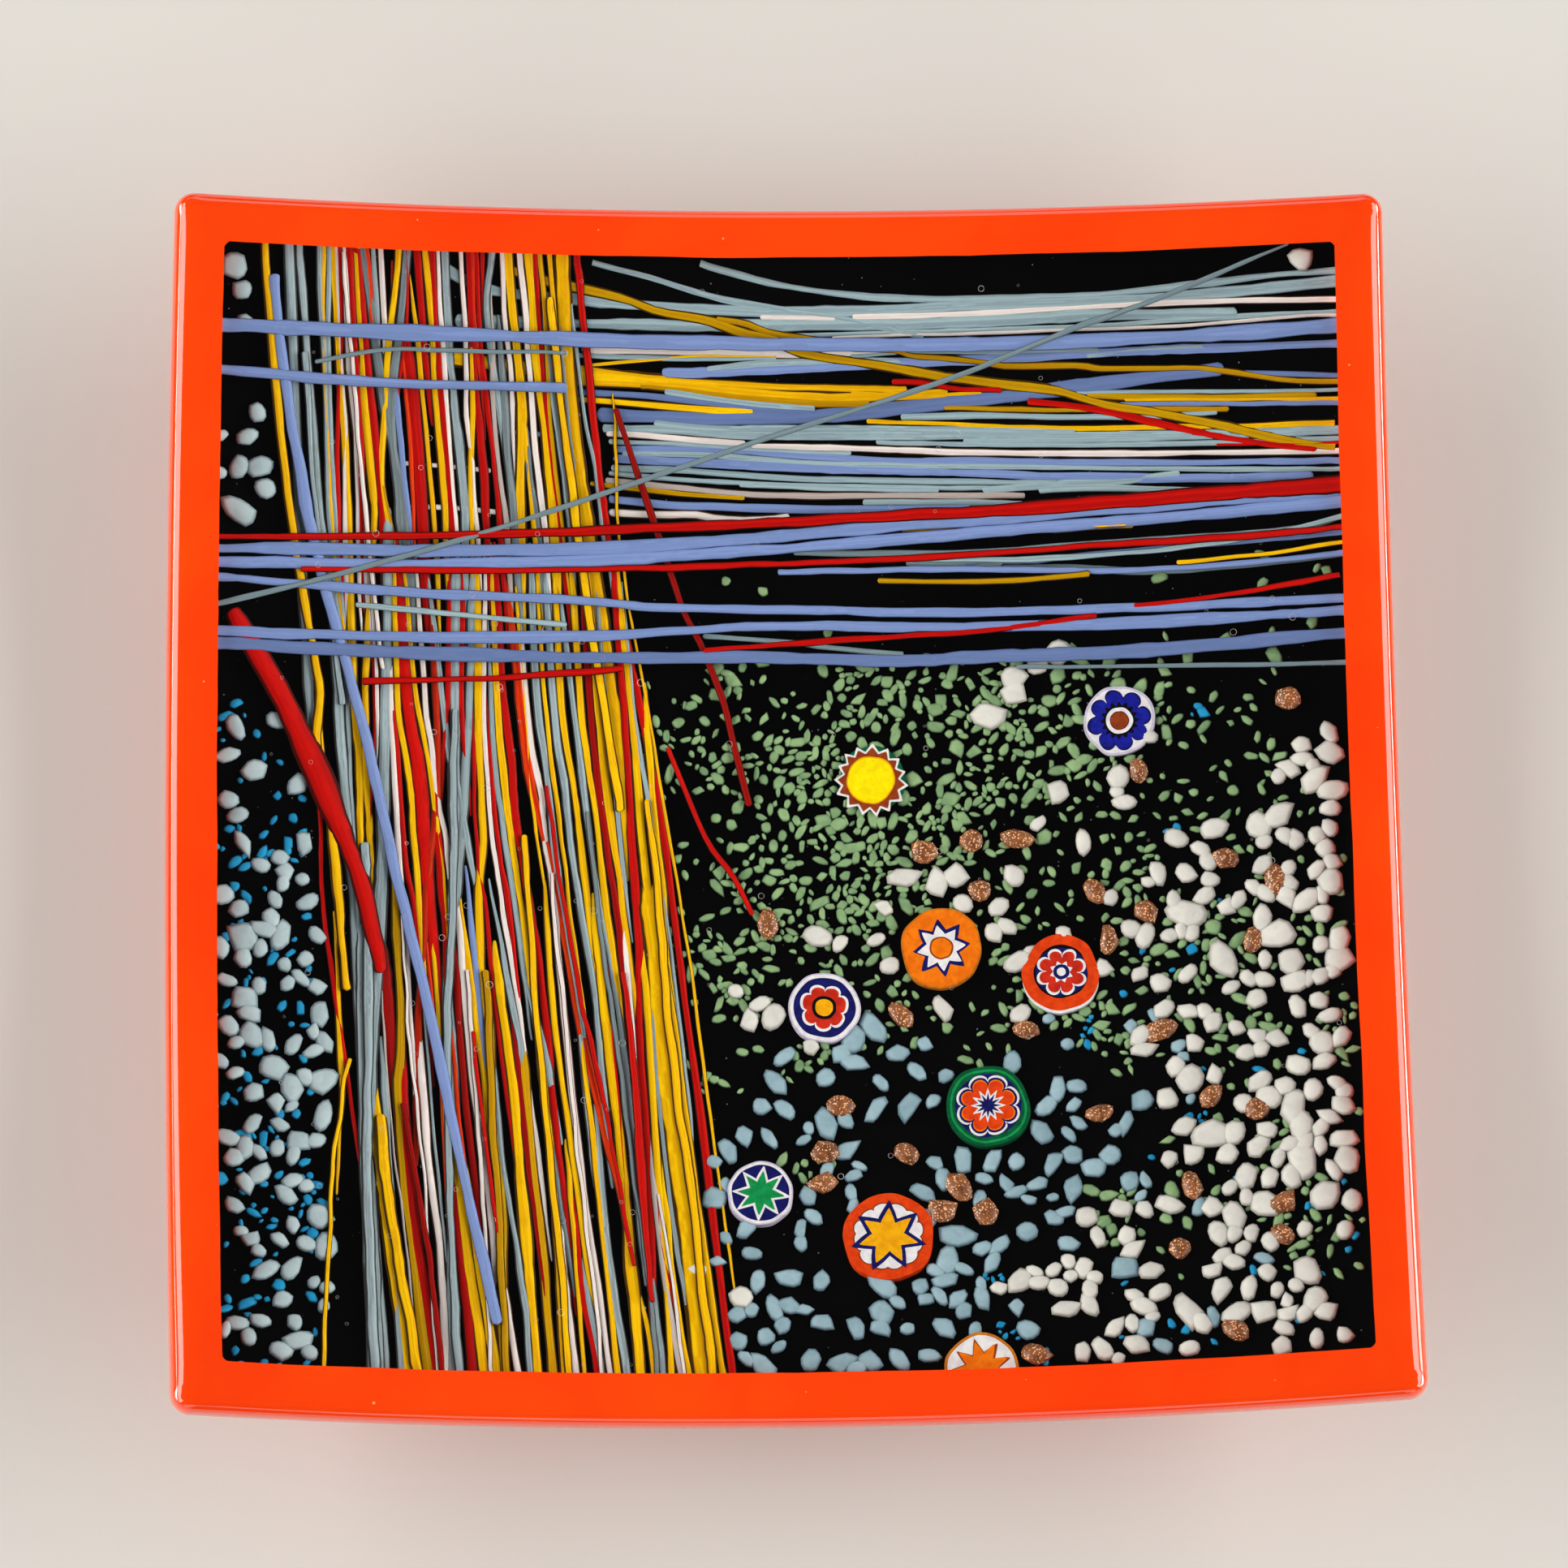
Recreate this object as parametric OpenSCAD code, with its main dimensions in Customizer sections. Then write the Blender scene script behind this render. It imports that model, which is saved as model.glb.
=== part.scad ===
// Art glass bowl: a square panel of fused sheet glass, stringers, frit and cane slices,
// fired flat and then slumped into a shallow dish. Every place on the glass is given on the
// flat blank, in millimetres from its middle, and slump() carries it onto the dish. The
// stringers, slices and frit form one layout, which grows and shrinks with the panel.

/* [Blank] */
// Side of the square blank before it is slumped
blank_size = 196; // [160:1:260]
// Width of the border strips
border_w = 7; // [5:0.5:16]
// Thickness of the base sheet
base_t = 3; // [2:0.5:6]
// Thickness of the black panel sheet
panel_t = 2; // [1:0.5:6]
// Depth of the fused stringers, frit and cane slices
inlay_t = 2.4; // [2:0.1:4]
// Thickness of the clear cap sheet
cap_t = 1.6; // [1:0.1:4]
// Gap between neighbouring sheets and strips of one layer
joint_gap = 0.1; // [0.05:0.05:0.4]
// Length nipped off each corner of the blank
corner_nip = 2.5; // [0.5:0.5:6]

/* [Slump] */
// Radius of the dish's front face
bowl_r = 280; // [230:5:500]
// Depth ground off the underside for the flat foot
foot_cut = 1.2; // [0.4:0.1:1.8]

/* [Stringers] */
// Width of a thin bundled stringer once fused
strand_w = 0.72; // [0.5:0.02:1.4]
// Gap between neighbouring stringers of the bundle
strand_gap = 0.15; // [0.1:0.05:0.6]
// Width of the thick red rod where it is widest
rod_w = 4.2; // [2:0.1:5]
// Clearance between one layer of stringers and the next
lay_gap = 0.12; // [0.1:0.01:0.16]

/* [Cane slices] */
// Radius of the smallest cane slice
slice_r = 5.2; // [3:0.1:5.8]
// Radius of the largest cane slice
big_slice_r = 7; // [6:0.1:7.5]

/* [Frit] */
// Spacing of the coarse frit
coarse_pitch = 4.6; // [4:0.1:7]
// Largest radius of a piece of coarse frit
coarse_r = 2; // [1:0.1:2.2]
// Spacing of the fine frit
fine_pitch = 2.8; // [2.4:0.1:5]
// Largest radius of a grain of fine frit
fine_r = 1.1; // [0.6:0.05:1.3]
// Radius of a flake of copper glass
flake_r = 2; // [1:0.1:2.4]
// Clear space left round frit
frit_gap = 0.25; // [0.2:0.05:0.6]

/* [Hidden] */

blank_half = blank_size / 2;
panel_half = blank_half - border_w;
// The layout is drawn for a panel of this half size
layout_half = 91;
layout_k = panel_half / layout_half;

// Depths of the layers below the front face
panel_top = cap_t + inlay_t;
base_top = panel_top + panel_t;
total_t = base_top + base_t;
sphere_z = bowl_r + total_t - foot_cut;
layers = 8;
layer_t = inlay_t / layers;
strand_t = layer_t - lay_gap;
// A strand sits low in its layer, because its straight stretches rise off the curved panel
strand_lift = lay_gap / 4;
// How far the flat top of a strand is drawn in from its foot
strand_bevel = 0.1;
// Longest stretch of a strand between two rings
ring_step = 12;
// Space between a strand's end and the border
end_gap = 0.2;
edge_cut_h = 120;
facets = 288;

orange = "#ff4a08";
light = "#9db6bc";
white = "#ece6df";
periwinkle = "#7c90c8";
yellow = "#f2bd00";
red = "#c01208";
grey = "#8fa6ab";
ember = "#e8420c";
ice = "#9cc0cc";
pale = "#b9cfd3";
green = "#8cb888";
turquoise = "#1f93c4";
copper = "#a9663f";

// ---- slumping ----

// A point of the flat blank, at a depth below the front face, on the dish
function slump(p, depth) = let(
        s = max(norm(p), 0.000001), a = s / bowl_r * 180 / PI, r = bowl_r + depth)
    [r * sin(a) * p[0] / s, r * sin(a) * p[1] / s, sphere_z - r * cos(a)];

// The same for a point of the layout
function laid(p, depth) = slump(p * layout_k, depth);

// Cylinder whose near side is the square-cut edge of a sheet of this half size, on side 0 to 3
module beyond_edge(half, side) {
    mid = slump([half, 0], 0);
    corner = slump([half, half], 0);
    tilt = half / bowl_r * 180 / PI;
    out = (corner[0] - mid[0]) * cos(tilt) + (corner[2] - mid[2]) * sin(tilt);
    r = (out * out + corner[1] * corner[1]) / (2 * out);
    rotate([0, 0, 90 * side]) translate(mid) rotate([0, -tilt, 0])
        translate([r, 0, -edge_cut_h / 2]) cylinder(r = r, h = edge_cut_h, $fn = facets);
}

// What the nipping pliers take off the four corners
module nips() {
    corner = slump([blank_half, blank_half], total_t / 2);
    tilt = blank_half * sqrt(2) / bowl_r * 180 / PI;
    reach = 4 * corner_nip + total_t;
    for (side = [0:3]) rotate([0, 0, 45 + 90 * side])
        translate([norm([corner[0], corner[1]]), 0, corner[2]]) rotate([0, -tilt, 0])
            translate([-corner_nip / 2, -reach, -reach]) cube([reach, 2 * reach, 2 * reach]);
}

// A sheet of slumped glass between two depths, over the whole blank and a little more
module shell(depth_top, depth_bottom) {
    corner = slump([blank_half, blank_half], 0);
    reach = blank_half + total_t;
    intersection() {
        difference() {
            translate([0, 0, sphere_z]) sphere(r = bowl_r + depth_bottom, $fn = facets);
            translate([0, 0, sphere_z]) sphere(r = bowl_r + depth_top, $fn = facets);
        }
        translate([-reach, -reach, 0]) cube([2 * reach, 2 * reach, corner[2] + total_t]);
    }
}

module sheet(half, depth_top, depth_bottom) {
    difference() {
        shell(depth_top, depth_bottom);
        for (side = [0:3]) beyond_edge(half, side);
    }
}

// ---- sheets and strips ----

module base_sheet() {
    color(orange) difference() {
        sheet(blank_half, base_top + joint_gap, total_t);
        nips();
    }
}

module black_panel() {
    color("#101010") sheet(panel_half - joint_gap / 2, panel_top, base_top);
}

module clear_cap() {
    color("#dfeaf0", 0.35) sheet(panel_half - joint_gap / 2, 0, cap_t);
}

// A side strip runs the whole height of the blank
module side_strip(side) {
    color(orange) difference() {
        intersection() {
            shell(0, base_top);
            beyond_edge(panel_half + joint_gap / 2, side);
        }
        beyond_edge(blank_half, side);
        beyond_edge(blank_half, 1);
        beyond_edge(blank_half, 3);
        nips();
    }
}

// A cross strip fits between the two side strips
module cross_strip(side) {
    color(orange) difference() {
        intersection() {
            shell(0, base_top);
            beyond_edge(panel_half + joint_gap / 2, side);
        }
        beyond_edge(blank_half, side);
        beyond_edge(panel_half - joint_gap / 2, 0);
        beyond_edge(panel_half - joint_gap / 2, 2);
    }
}

module border_right() { side_strip(0); }
module border_top() { cross_strip(1); }
module border_left() { side_strip(2); }
module border_bottom() { cross_strip(3); }

// ---- stringers ----

function mix(a, b, t) = a + (b - a) * t;

// Catmull-Rom point between b and c
function curve_point(a, b, c, d, t) = 0.5 * ((2 * b) + (c - a) * t
    + (2 * a - 5 * b + 4 * c - d) * t * t + (3 * b - a - 3 * c + d) * t * t * t);

// The hand-placed points of a strand as a smooth path with rings no further than ring_step
function smooth_path(pts) = let(last = len(pts) - 1) [
    for (i = [0:last - 1])
        let(steps = ceil(norm(pts[i + 1] - pts[i]) / ring_step))
            for (s = [0:steps - 1])
                curve_point(pts[max(i - 1, 0)], pts[i], pts[i + 1], pts[min(i + 2, last)],
                    s / steps),
    pts[last]];

// Keeps a point of the layout inside the panel, clear of the border
function on_panel(p) = let(limit = layout_half - end_gap)
    [for (q = p) min(limit, max(-limit, q))];

function path_normal(path, i) = let(
        a = path[max(i - 1, 0)], b = path[min(i + 1, len(path) - 1)], d = (b - a) / norm(b - a))
    [-d[1], d[0]];

// Widths are given for the path's start, middle and end
function width_at(w, t) = is_num(w) ? w
    : t < 0.5 ? mix(w[0], w[1], t * 2) : mix(w[1], w[2], t * 2 - 1);

// Rings of a flattened strand: four points each, on layer `layer` of the inlay
function strand_points(strand, layer) = let(
        path = smooth_path(strand[1]),
        foot = panel_top - layer * layer_t - strand_lift,
        last = len(path) - 1)
    [for (i = [0:last]) let(
            n = path_normal(path, i), half = width_at(strand[0], i / last) / 2,
            top = max(half - strand_bevel, half * 0.6))
        each [for (q = [[half, 0], [-half, 0], [-top, strand_t], [top, strand_t]])
            laid(on_panel(path[i] + n * q[0]), foot - q[1])]];

function strand_faces(count) = [
    [0, 1, 2], [0, 2, 3],
    for (i = [0:count / 4 - 2]) for (j = [0:3]) let(
            a = i * 4 + j, b = i * 4 + (j + 1) % 4)
        each [[a, a + 4, b + 4], [a, b + 4, b]],
    [count - 1, count - 2, count - 3], [count - 1, count - 3, count - 4]];

// Running totals, so that many closed shells can share one polyhedron
function offsets(lists) = [for (i = 0, n = 0; i < len(lists); n = n + len(lists[i]), i = i + 1) n];

module strands(list, layer) {
    shells = [for (strand = list) strand_points(strand, layer)];
    start = offsets(shells);
    polyhedron(points = [for (s = shells) each s],
        faces = [for (i = [0:len(shells) - 1]) for (f = strand_faces(len(shells[i])))
            [for (v = f) v + start[i]]]);
}

// Each strand below is [width, path] or [[start, middle, end widths], path]

under_light_list = [
    [0.9, [[-12, 90], [0, 87], [20, 84.6], [50, 84.6], [91, 86.2]]],
    [0.9, [[-33, 90], [-20, 86], [-6, 83.4], [20, 83], [50, 83.2], [91, 84.6]]],
    [1.1, [[0, 79.7], [30, 79.5], [56, 80.2], [74, 80.2]]],
    [1, [[0, 64.4], [20, 64.6], [50, 64.6], [70, 64]]],
    [1.4, [[-25, 63.6], [0, 62.4], [35, 62.4], [60, 60.8], [91, 58.6]]],
    [1.2, [[-30, 60], [0, 58.8], [40, 57.6], [91, 55]]],
    [1, [[-28, 56.6], [0, 55.2], [30, 54.4], [56, 54.4]]],
    [0.9, [[-26, 54.8], [0, 53.6], [40, 52.4], [66, 52.4]]]];
under_white_list = [
    [1, [[-5, 81.3], [30, 81.3], [60, 81.8], [80, 81.8], [91, 81]]],
    [0.6, [[-2, 78.3], [30, 78.3], [60, 78.7], [91, 79]]],
    [0.9, [[-30, 75.8], [0, 75.4], [18, 75.4]]],
    [1, [[0, 60.7], [30, 59.9], [55, 59], [75, 57.8], [91, 57]]],
    [0.9, [[0, 51.9], [20, 51.6], [38, 50.8]]]];
under_periwinkle_list = [
    [1.5, [[20, 74.2], [45, 74.6], [68, 74.6], [91, 74]]],
    [1.4, [[-18, 72.4], [0, 72.4], [18, 72.6]]],
    [2, [[0, 66.2], [15, 66.4], [30, 67.4], [40, 69], [55, 70.6], [71, 71.5]]],
    [1.4, [[-28, 58.2], [0, 57], [40, 55.9], [91, 53.3]]],
    [1, [[-25, 51.4], [-3, 51.2]]]];
under_yellow_list = [
    [1.2, [[-44, 90], [-35, 86.5], [-15, 81.5], [3, 77.6], [20, 73.4], [40, 70.2], [50, 67.5],
        [60, 64.8], [75, 61.2], [89, 57.8]]],
    [1.3, [[-52, 71], [-30, 71.4], [0, 70.7], [15, 69.4]]],
    [1, [[20, 75.4], [35, 73.7], [58, 72.2], [91, 68.6]]],
    [1.1, [[-50, 69.3], [-20, 68.3], [0, 66.8], [12, 65.4], [25, 64.2], [46, 63.4]]],
    [1.1, [[64, 66.2], [76, 66], [87, 65.8]]],
    [0.8, [[68, 60.6], [80, 57], [88, 54]]]];
under_red_list = [[0.9, [[20, 70.8], [30, 69.2], [38, 67.8], [48, 65.2], [56, 62.2], [64, 59.2]]]];

// The bundle is a fan of strands down the panel: rows of [place up the panel, left, right]
bundle_rows = [[91, -79, -33], [70, -77, -30.4], [40, -74.4, -26], [0, -69.4, -19.6],
    [-40, -67, -14.4], [-91, -66, -9.4]];
// Colours of the bundle from left to right, as letters: a capital is a thick strand, and a dot
// is a space
bundle_order = "GG.yGyRWrwryGrgRWpOygpRyrWg.wRRGywyWYryYYr";
thick_share = 1.6;

function is_thick(letter) = letter != "." && ord(letter) < ord("a");
function capital(letter) = is_thick(letter) || letter == "." ? letter : chr(ord(letter) - 32);
function letter_at(i) = bundle_order[i % len(bundle_order)];
function share_at(i) = is_thick(letter_at(i)) ? thick_share : 1;
function row_span(row) = row[2] - row[1];

// How much of the top row a strand of share 1 takes, with its gap
unit_share = (strand_w + strand_gap) / row_span(bundle_rows[0]);
// Where each strand begins and ends across the bundle, from 0 to 1
bundle_places = [for (i = 0, t = 0; t + share_at(i) * unit_share <= 1;
    t = t + share_at(i) * unit_share, i = i + 1) [t, t + share_at(i) * unit_share]];

function bundle_strand(place) = let(
        t = (place[0] + place[1]) / 2,
        w = (place[1] - place[0]) * row_span(bundle_rows[0]) - strand_gap)
    [[for (n = [0, 3, 5]) w * row_span(bundle_rows[n]) / row_span(bundle_rows[0])],
        [for (row = bundle_rows)
            [mix(row[1], row[2], t) + 0.5 * sin(row[0] * 4 + t * 90), row[0]]]];

module bundle(letter) {
    strands([for (i = [0:len(bundle_places) - 1])
        if (capital(letter_at(i)) == letter) bundle_strand(bundle_places[i])], 2);
}

crossing_yellow_list = [
    [1.8, [[-83.6, 91], [-81, 68], [-78, 45], [-76, 33], [-73.6, 20], [-74.4, 12], [-72, 0],
        [-70.4, -14], [-69.4, -28]]],
    [2.2, [[-64.2, -48], [-63, -62], [-61, -76], [-59, -91]]],
    [1.5, [[-47.2, -24], [-46.5, -46], [-45.8, -70], [-45.4, -91]]],
    [1.4, [[-41, -2], [-39.6, -26], [-37.6, -54], [-36, -78], [-35.6, -91]]],
    [1.8, [[-37, 84], [-34, 62], [-31.4, 40], [-28.4, 20], [-25.6, 2]]],
    [1.8, [[-21.4, 4], [-19.4, -16], [-17.6, -40], [-14.8, -66], [-12.6, -91]]]];
crossing_grey_list = [
    [2.6, [[-66.4, -4], [-65.8, -20], [-66.2, -40], [-66.6, -64], [-66, -91]]],
    [2, [[-51.8, 18], [-52.4, -8], [-53.4, -30], [-53.6, -52], [-53, -91]]],
    [1.6, [[-76.6, 74], [-75, 54], [-72, 34], [-70, 18]]],
    [1.2, [[-31, 2], [-28.4, -20], [-25.8, -44], [-23.6, -66], [-21.6, -91]]]];
crossing_white_list = [
    [1.2, [[-70.6, 90], [-68, 64], [-66, 46], [-63.4, 24]]],
    [0.9, [[-60.6, -14], [-59.4, -38], [-57.4, -58], [-55.8, -91]]],
    [1.1, [[-50.2, -24], [-49.2, -44], [-47.9, -68], [-47.6, -91]]],
    [1.1, [[-36.6, -8], [-34.6, -34], [-32.6, -60], [-30.4, -91]]],
    [0.9, [[-20.6, -60], [-19, -76], [-17.6, -91]]]];
crossing_red_list = [
    [[1, 1.2, 0.9], [[-37.4, 6], [-33, -24], [-28.4, -48], [-24.8, -72]]],
    [[1.2, 2.2, 1], [[-25.6, -24], [-23.8, -46], [-22.2, -78]]],
    [1.4, [[-60.8, -46], [-58, -66], [-55.2, -91]]],
    [1, [[-49.6, -34], [-47.4, -56], [-46, -70]]]];
long_periwinkle_list = [[1.8, [[-82, 86], [-79.6, 68], [-75.6, 48], [-71, 30], [-66, 12],
    [-62.4, -5], [-58.4, -22], [-55, -38], [-51, -60], [-46.6, -82]]]];
red_rod_list = [[[0.8 * rod_w, rod_w, 0.5 * rod_w], [[-88, 32.4], [-80, 19], [-72.4, 3],
    [-67, -11], [-64, -25]]]];
loose_red_list = [
    [1, [[-26, 66.6], [-19.6, 47.6], [-15, 34], [-12, 28], [-9, 20], [-7, 11.6], [-5, 3]]],
    [0.8, [[-18, 12.4], [-15, 5], [-11.6, -3], [-7.6, -8.6], [-4.8, -14.6]]]];
yellow_thread_list = [[0.8, [[-69, -39], [-71.6, -55], [-73, -72], [-74, -91]]]];

over_periwinkle_list = [
    [2, [[-91, 77.5], [-47, 77.6], [32, 76.6], [91, 77.2]]],
    [1.4, [[-91, 70.5], [-59, 69.6], [-34, 69.6]]],
    [1.7, [[-91, 42], [-34, 44], [25, 48], [91, 51]]],
    [1.7, [[-91, 39.8], [-34, 42], [25, 46], [91, 49]]],
    [1.3, [[-91, 37.4], [-70, 36.6], [-34, 35.8], [-19, 34.8], [10, 34.2], [30, 33.6], [91, 33.4]]],
    [1.5, [[-91, 28.9], [-34, 29.8], [-2, 31.8], [28, 31.4], [91, 31.2]]],
    [1.8, [[-91, 26.8], [-34, 26.6], [0, 26.8], [20, 26], [34, 26.4], [60, 26.6], [91, 27.8]]],
    [0.9, [[0, 40.6], [30, 40.6], [60, 39.6], [91, 40.6]]]];
over_light_list = [
    [0.7, [[-75, 72.4], [-64, 74.8], [-34, 75.2]]],
    [1, [[-68, 34], [-52, 33.2], [-34, 31.8]]],
    [0.8, [[38, 24.6], [65, 23.8], [91, 23]]],
    [0.9, [[21, 42.4], [40, 42], [60, 42.6], [80, 44.6], [91, 46.6]]]];
over_red_list = [
    [[0.8, 1.4, 2.4], [[-91, 43.8], [-47, 46], [25, 49.6], [91, 51.8]]],
    [0.9, [[-77, 39.3], [-34, 40.5], [31, 43], [91, 44.8]]],
    [0.8, [[-67, 21.8], [-45, 23], [-25, 25]]],
    [0.8, [[-12, 28], [8, 29.4], [31, 30.6], [51, 32.4]]],
    [0.8, [[57, 33.8], [74, 35.2], [90, 37.2]]]];
over_yellow_list = [
    [1, [[16, 39], [35, 38.6], [50, 39.2]]],
    [0.8, [[64, 40.6], [78, 41.2], [91, 42.4]]],
    [0.7, [[45, 46.8], [56, 46.8]]]];
diagonal_list = [[0.9, [[-91, 33], [-75, 37.5], [-45, 47], [-25, 54], [-2, 61.8], [15, 67],
    [32, 72.6], [49, 79], [62, 83], [83, 91]]]];

module under_light() { color(light) strands(under_light_list, 0); }
module under_white() { color(white) strands(under_white_list, 0); }
module under_periwinkle() { color(periwinkle) strands(under_periwinkle_list, 0); }
module under_yellow() { color(yellow) strands(under_yellow_list, 1); }
module under_red() { color(red) strands(under_red_list, 2); }
module bundle_yellow() { color(yellow) bundle("Y"); }
module bundle_red() { color(red) bundle("R"); }
module bundle_white() { color(white) bundle("W"); }
module bundle_grey() { color(grey) bundle("G"); }
module bundle_orange() { color(ember) bundle("O"); }
module bundle_periwinkle() { color(periwinkle) bundle("P"); }
module crossing_yellow() { color(yellow) strands(crossing_yellow_list, 3); }
module crossing_grey() { color(grey) strands(crossing_grey_list, 3); }
module crossing_white() { color(white) strands(crossing_white_list, 3); }
module crossing_red() { color(red) strands(crossing_red_list, 4); }
module long_periwinkle() { color(periwinkle) strands(long_periwinkle_list, 4); }
module red_rod() { color(red) strands(red_rod_list, 4); }
module loose_red() { color(red) strands(loose_red_list, 3); }
module yellow_thread() { color(yellow) strands(yellow_thread_list, 3); }
module over_periwinkle() { color(periwinkle) strands(over_periwinkle_list, 5); }
module over_light() { color(light) strands(over_light_list, 5); }
module over_red() { color(red) strands(over_red_list, 6); }
module over_yellow() { color(yellow) strands(over_yellow_list, 6); }
module diagonal_stringer() { color(light) strands(diagonal_list, 7); }

// ---- cane slices ----

// Places on the layout and sizes, from 0 for the smallest to 1 for the largest
blue_flower = [[54.2, 15.5], 0.3];
yellow_sun = [[14.4, 7], 0.2];
orange_star = [[25, -20.4], 0.7];
red_flower = [[43.8, -25.3], 0.6];
navy_flower = [[6.2, -29.8], 0.25];
green_ring = [[31.6, -46.4], 0.7];
green_star = [[-4.6, -60], 0];
yellow_star = [[15.2, -67.5], 1];
amber_star = [[29, -89.6], 0.3];
slices = [blue_flower, yellow_sun, orange_star, red_flower, navy_flower, green_ring, green_star,
    yellow_star, amber_star];

function slice_radius(slice) = mix(slice_r, big_slice_r, slice[1]);

module cane_slice(slice) {
    p = slice[0];
    r = slice_radius(slice);
    lean = norm(p) * layout_k / bowl_r * 180 / PI;
    // A rounder dish rises more under a flat slice's edge, so the slice is lifted as much
    lift = pow(r * layout_k, 2) / 2 * (1 / bowl_r - 1 / 280);
    difference() {
        translate(laid(p, panel_top - lay_gap - lift)) rotate([0, 0, atan2(p[1], p[0])])
            rotate([0, -lean, 0]) cylinder(r = r * layout_k, h = inlay_t - 2 * lay_gap, $fn = 96);
        // A slice at the bottom border is trimmed to sit against it
        if (p[1] - r < -layout_half) beyond_edge(panel_half - joint_gap, 3);
    }
}

module slice_blue_flower() { color("#2038b8") cane_slice(blue_flower); }
module slice_yellow_sun() { color("#f0dc00") cane_slice(yellow_sun); }
module slice_orange_star() { color("#f28c10") cane_slice(orange_star); }
module slice_red_flower() { color("#e8400e") cane_slice(red_flower); }
module slice_navy_flower() { color("#1a2a9c") cane_slice(navy_flower); }
module slice_green_ring() { color("#0c7a3c") cane_slice(green_ring); }
module slice_green_star() { color("#1fa050") cane_slice(green_star); }
module slice_yellow_star() { color("#f05010") cane_slice(yellow_star); }
module slice_amber_star() { color("#e09018") cane_slice(amber_star); }

// ---- frit ----

// Scatter between 0 and 1 that is the same on every run
function scatter(i, j, k) = let(x = sin(i * 127.1 + j * 311.7 + k * 74.7) * 43758.5453)
    x - floor(x);

// Copper flakes, placed by hand
flakes = [[81, 18], [57, 7.4], [22.8, -4.8], [30.2, -3], [37.4, -2.8], [31.3, -11.2],
    [49.4, -11.8], [57.4, -15.4], [70.2, -7.4], [78, -11.2], [-2.4, -16], [51.4, -20],
    [74.2, -21], [18.4, -31.2], [38, -34], [59, -35], [8.3, -45.7], [5.8, -53.4],
    [5.2, -58.4], [18.6, -53.7], [26.5, -59.4], [23.8, -63.2], [30.6, -63.6], [49, -48],
    [66.3, -46.2], [73.6, -48.6], [63, -60.6], [77, -64.6], [76.8, -69.6], [60.6, -71],
    [68.6, -84.8], [37.4, -87.4]];

// Patches of frit: [kind, [left, right], [low, high], share of the places filled]
coarse_patches = [
    ["pale", [-91, -82], [46, 91], 0.4], ["pale", [-91, -77], [-2, 18], 0.35],
    ["pale", [-91, -71], [-34, -4], 0.65], ["pale", [-91, -70], [-91, -36], 0.5],
    ["white", [82, 91], [84, 91], 0.5], ["white", [14, 36], [-30, -6], 0.35],
    ["white", [40, 62], [-34, 8], 0.35], ["white", [82, 91], [-4, 10], 0.7],
    ["white", [62, 91], [-30, -4], 0.6], ["white", [56, 91], [-46, -30], 0.4],
    ["white", [58, 91], [-62, -44], 0.8], ["white", [44, 91], [-91, -62], 0.5],
    ["ice", [-6, 30], [-50, -34], 0.55], ["ice", [34, 66], [-64, -44], 0.55],
    ["ice", [-8, 44], [-91, -50], 0.6], ["ice", [44, 74], [-91, -62], 0.45]];
fine_patches = [
    ["turquoise", [-91, -75], [-91, 10], 0.45], ["green", [-17, 6], [-44, 20], 0.5],
    ["green", [6, 62], [-18, 6], 0.8], ["green", [0, 44], [-42, 20], 0.5],
    ["green", [60, 80], [0, 22], 0.6], ["green", [44, 91], [-44, 4], 0.5],
    ["green", [60, 90], [-76, -44], 0.55], ["turquoise", [50, 90], [-88, -18], 0.15]];

function in_patch(p, patch) = p[0] > patch[1][0] && p[0] < patch[1][1]
    && p[1] > patch[2][0] && p[1] < patch[2][1];

// The kind of glass at a place: that of the first patch that fills it, or nothing
function kind_at(p, patches, i, j, k) = let(found = [for (n = [0:len(patches) - 1])
        if (in_patch(p, patches[n]) && scatter(i, j, k + n) < patches[n][3]) patches[n][0]])
    len(found) > 0 ? found[0] : "";

function segment_gap(p, a, b) = let(
        t = max(0, min(1, (p - a) * (b - a) / ((b - a) * (b - a)))))
    norm(p - mix(a, b, t));
function path_gap(p, path) = min([for (i = [0:len(path) - 2])
    segment_gap(p, path[i], path[i + 1])]);

// Stringers that frit has to keep clear of, with their half widths
frit_stops = [[red_rod_list[0][1], rod_w / 2], [crossing_yellow_list[0][1], 0.9],
    [yellow_thread_list[0][1], 0.4], [loose_red_list[0][1], 0.5], [loose_red_list[1][1], 0.4],
    [[for (row = bundle_rows) [row[1], row[0]]], strand_w],
    [[for (row = bundle_rows) [row[2], row[0]]], strand_w]];

// True where a round piece of radius r can lie flat without touching anything else
function is_free(p, r) =
    max(abs(p[0]), abs(p[1])) < layout_half - r - frit_gap
    && min([for (s = slices) norm(p - s[0]) - slice_radius(s)]) > r + frit_gap
    && min([for (f = flakes) norm(p - f)]) > r + flake_r + frit_gap
    && min([for (s = frit_stops) path_gap(p, s[0]) - s[1]]) > r + frit_gap;

// A piece of coarse frit as [place, radius, kind]
function coarse_piece(i, j) = let(
        room = coarse_pitch / 2 - frit_gap / 2,
        r = min(room, mix(0.7, 1, scatter(i, j, 1)) * coarse_r),
        shake = room - r,
        p = [(i + 0.5 * (j % 2)) * coarse_pitch + shake * (scatter(i, j, 2) * 2 - 1),
            j * coarse_pitch + shake * (scatter(i, j, 3) * 2 - 1)])
    [p, r, is_free(p, r) ? kind_at(p, coarse_patches, i, j, 10) : ""];

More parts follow.
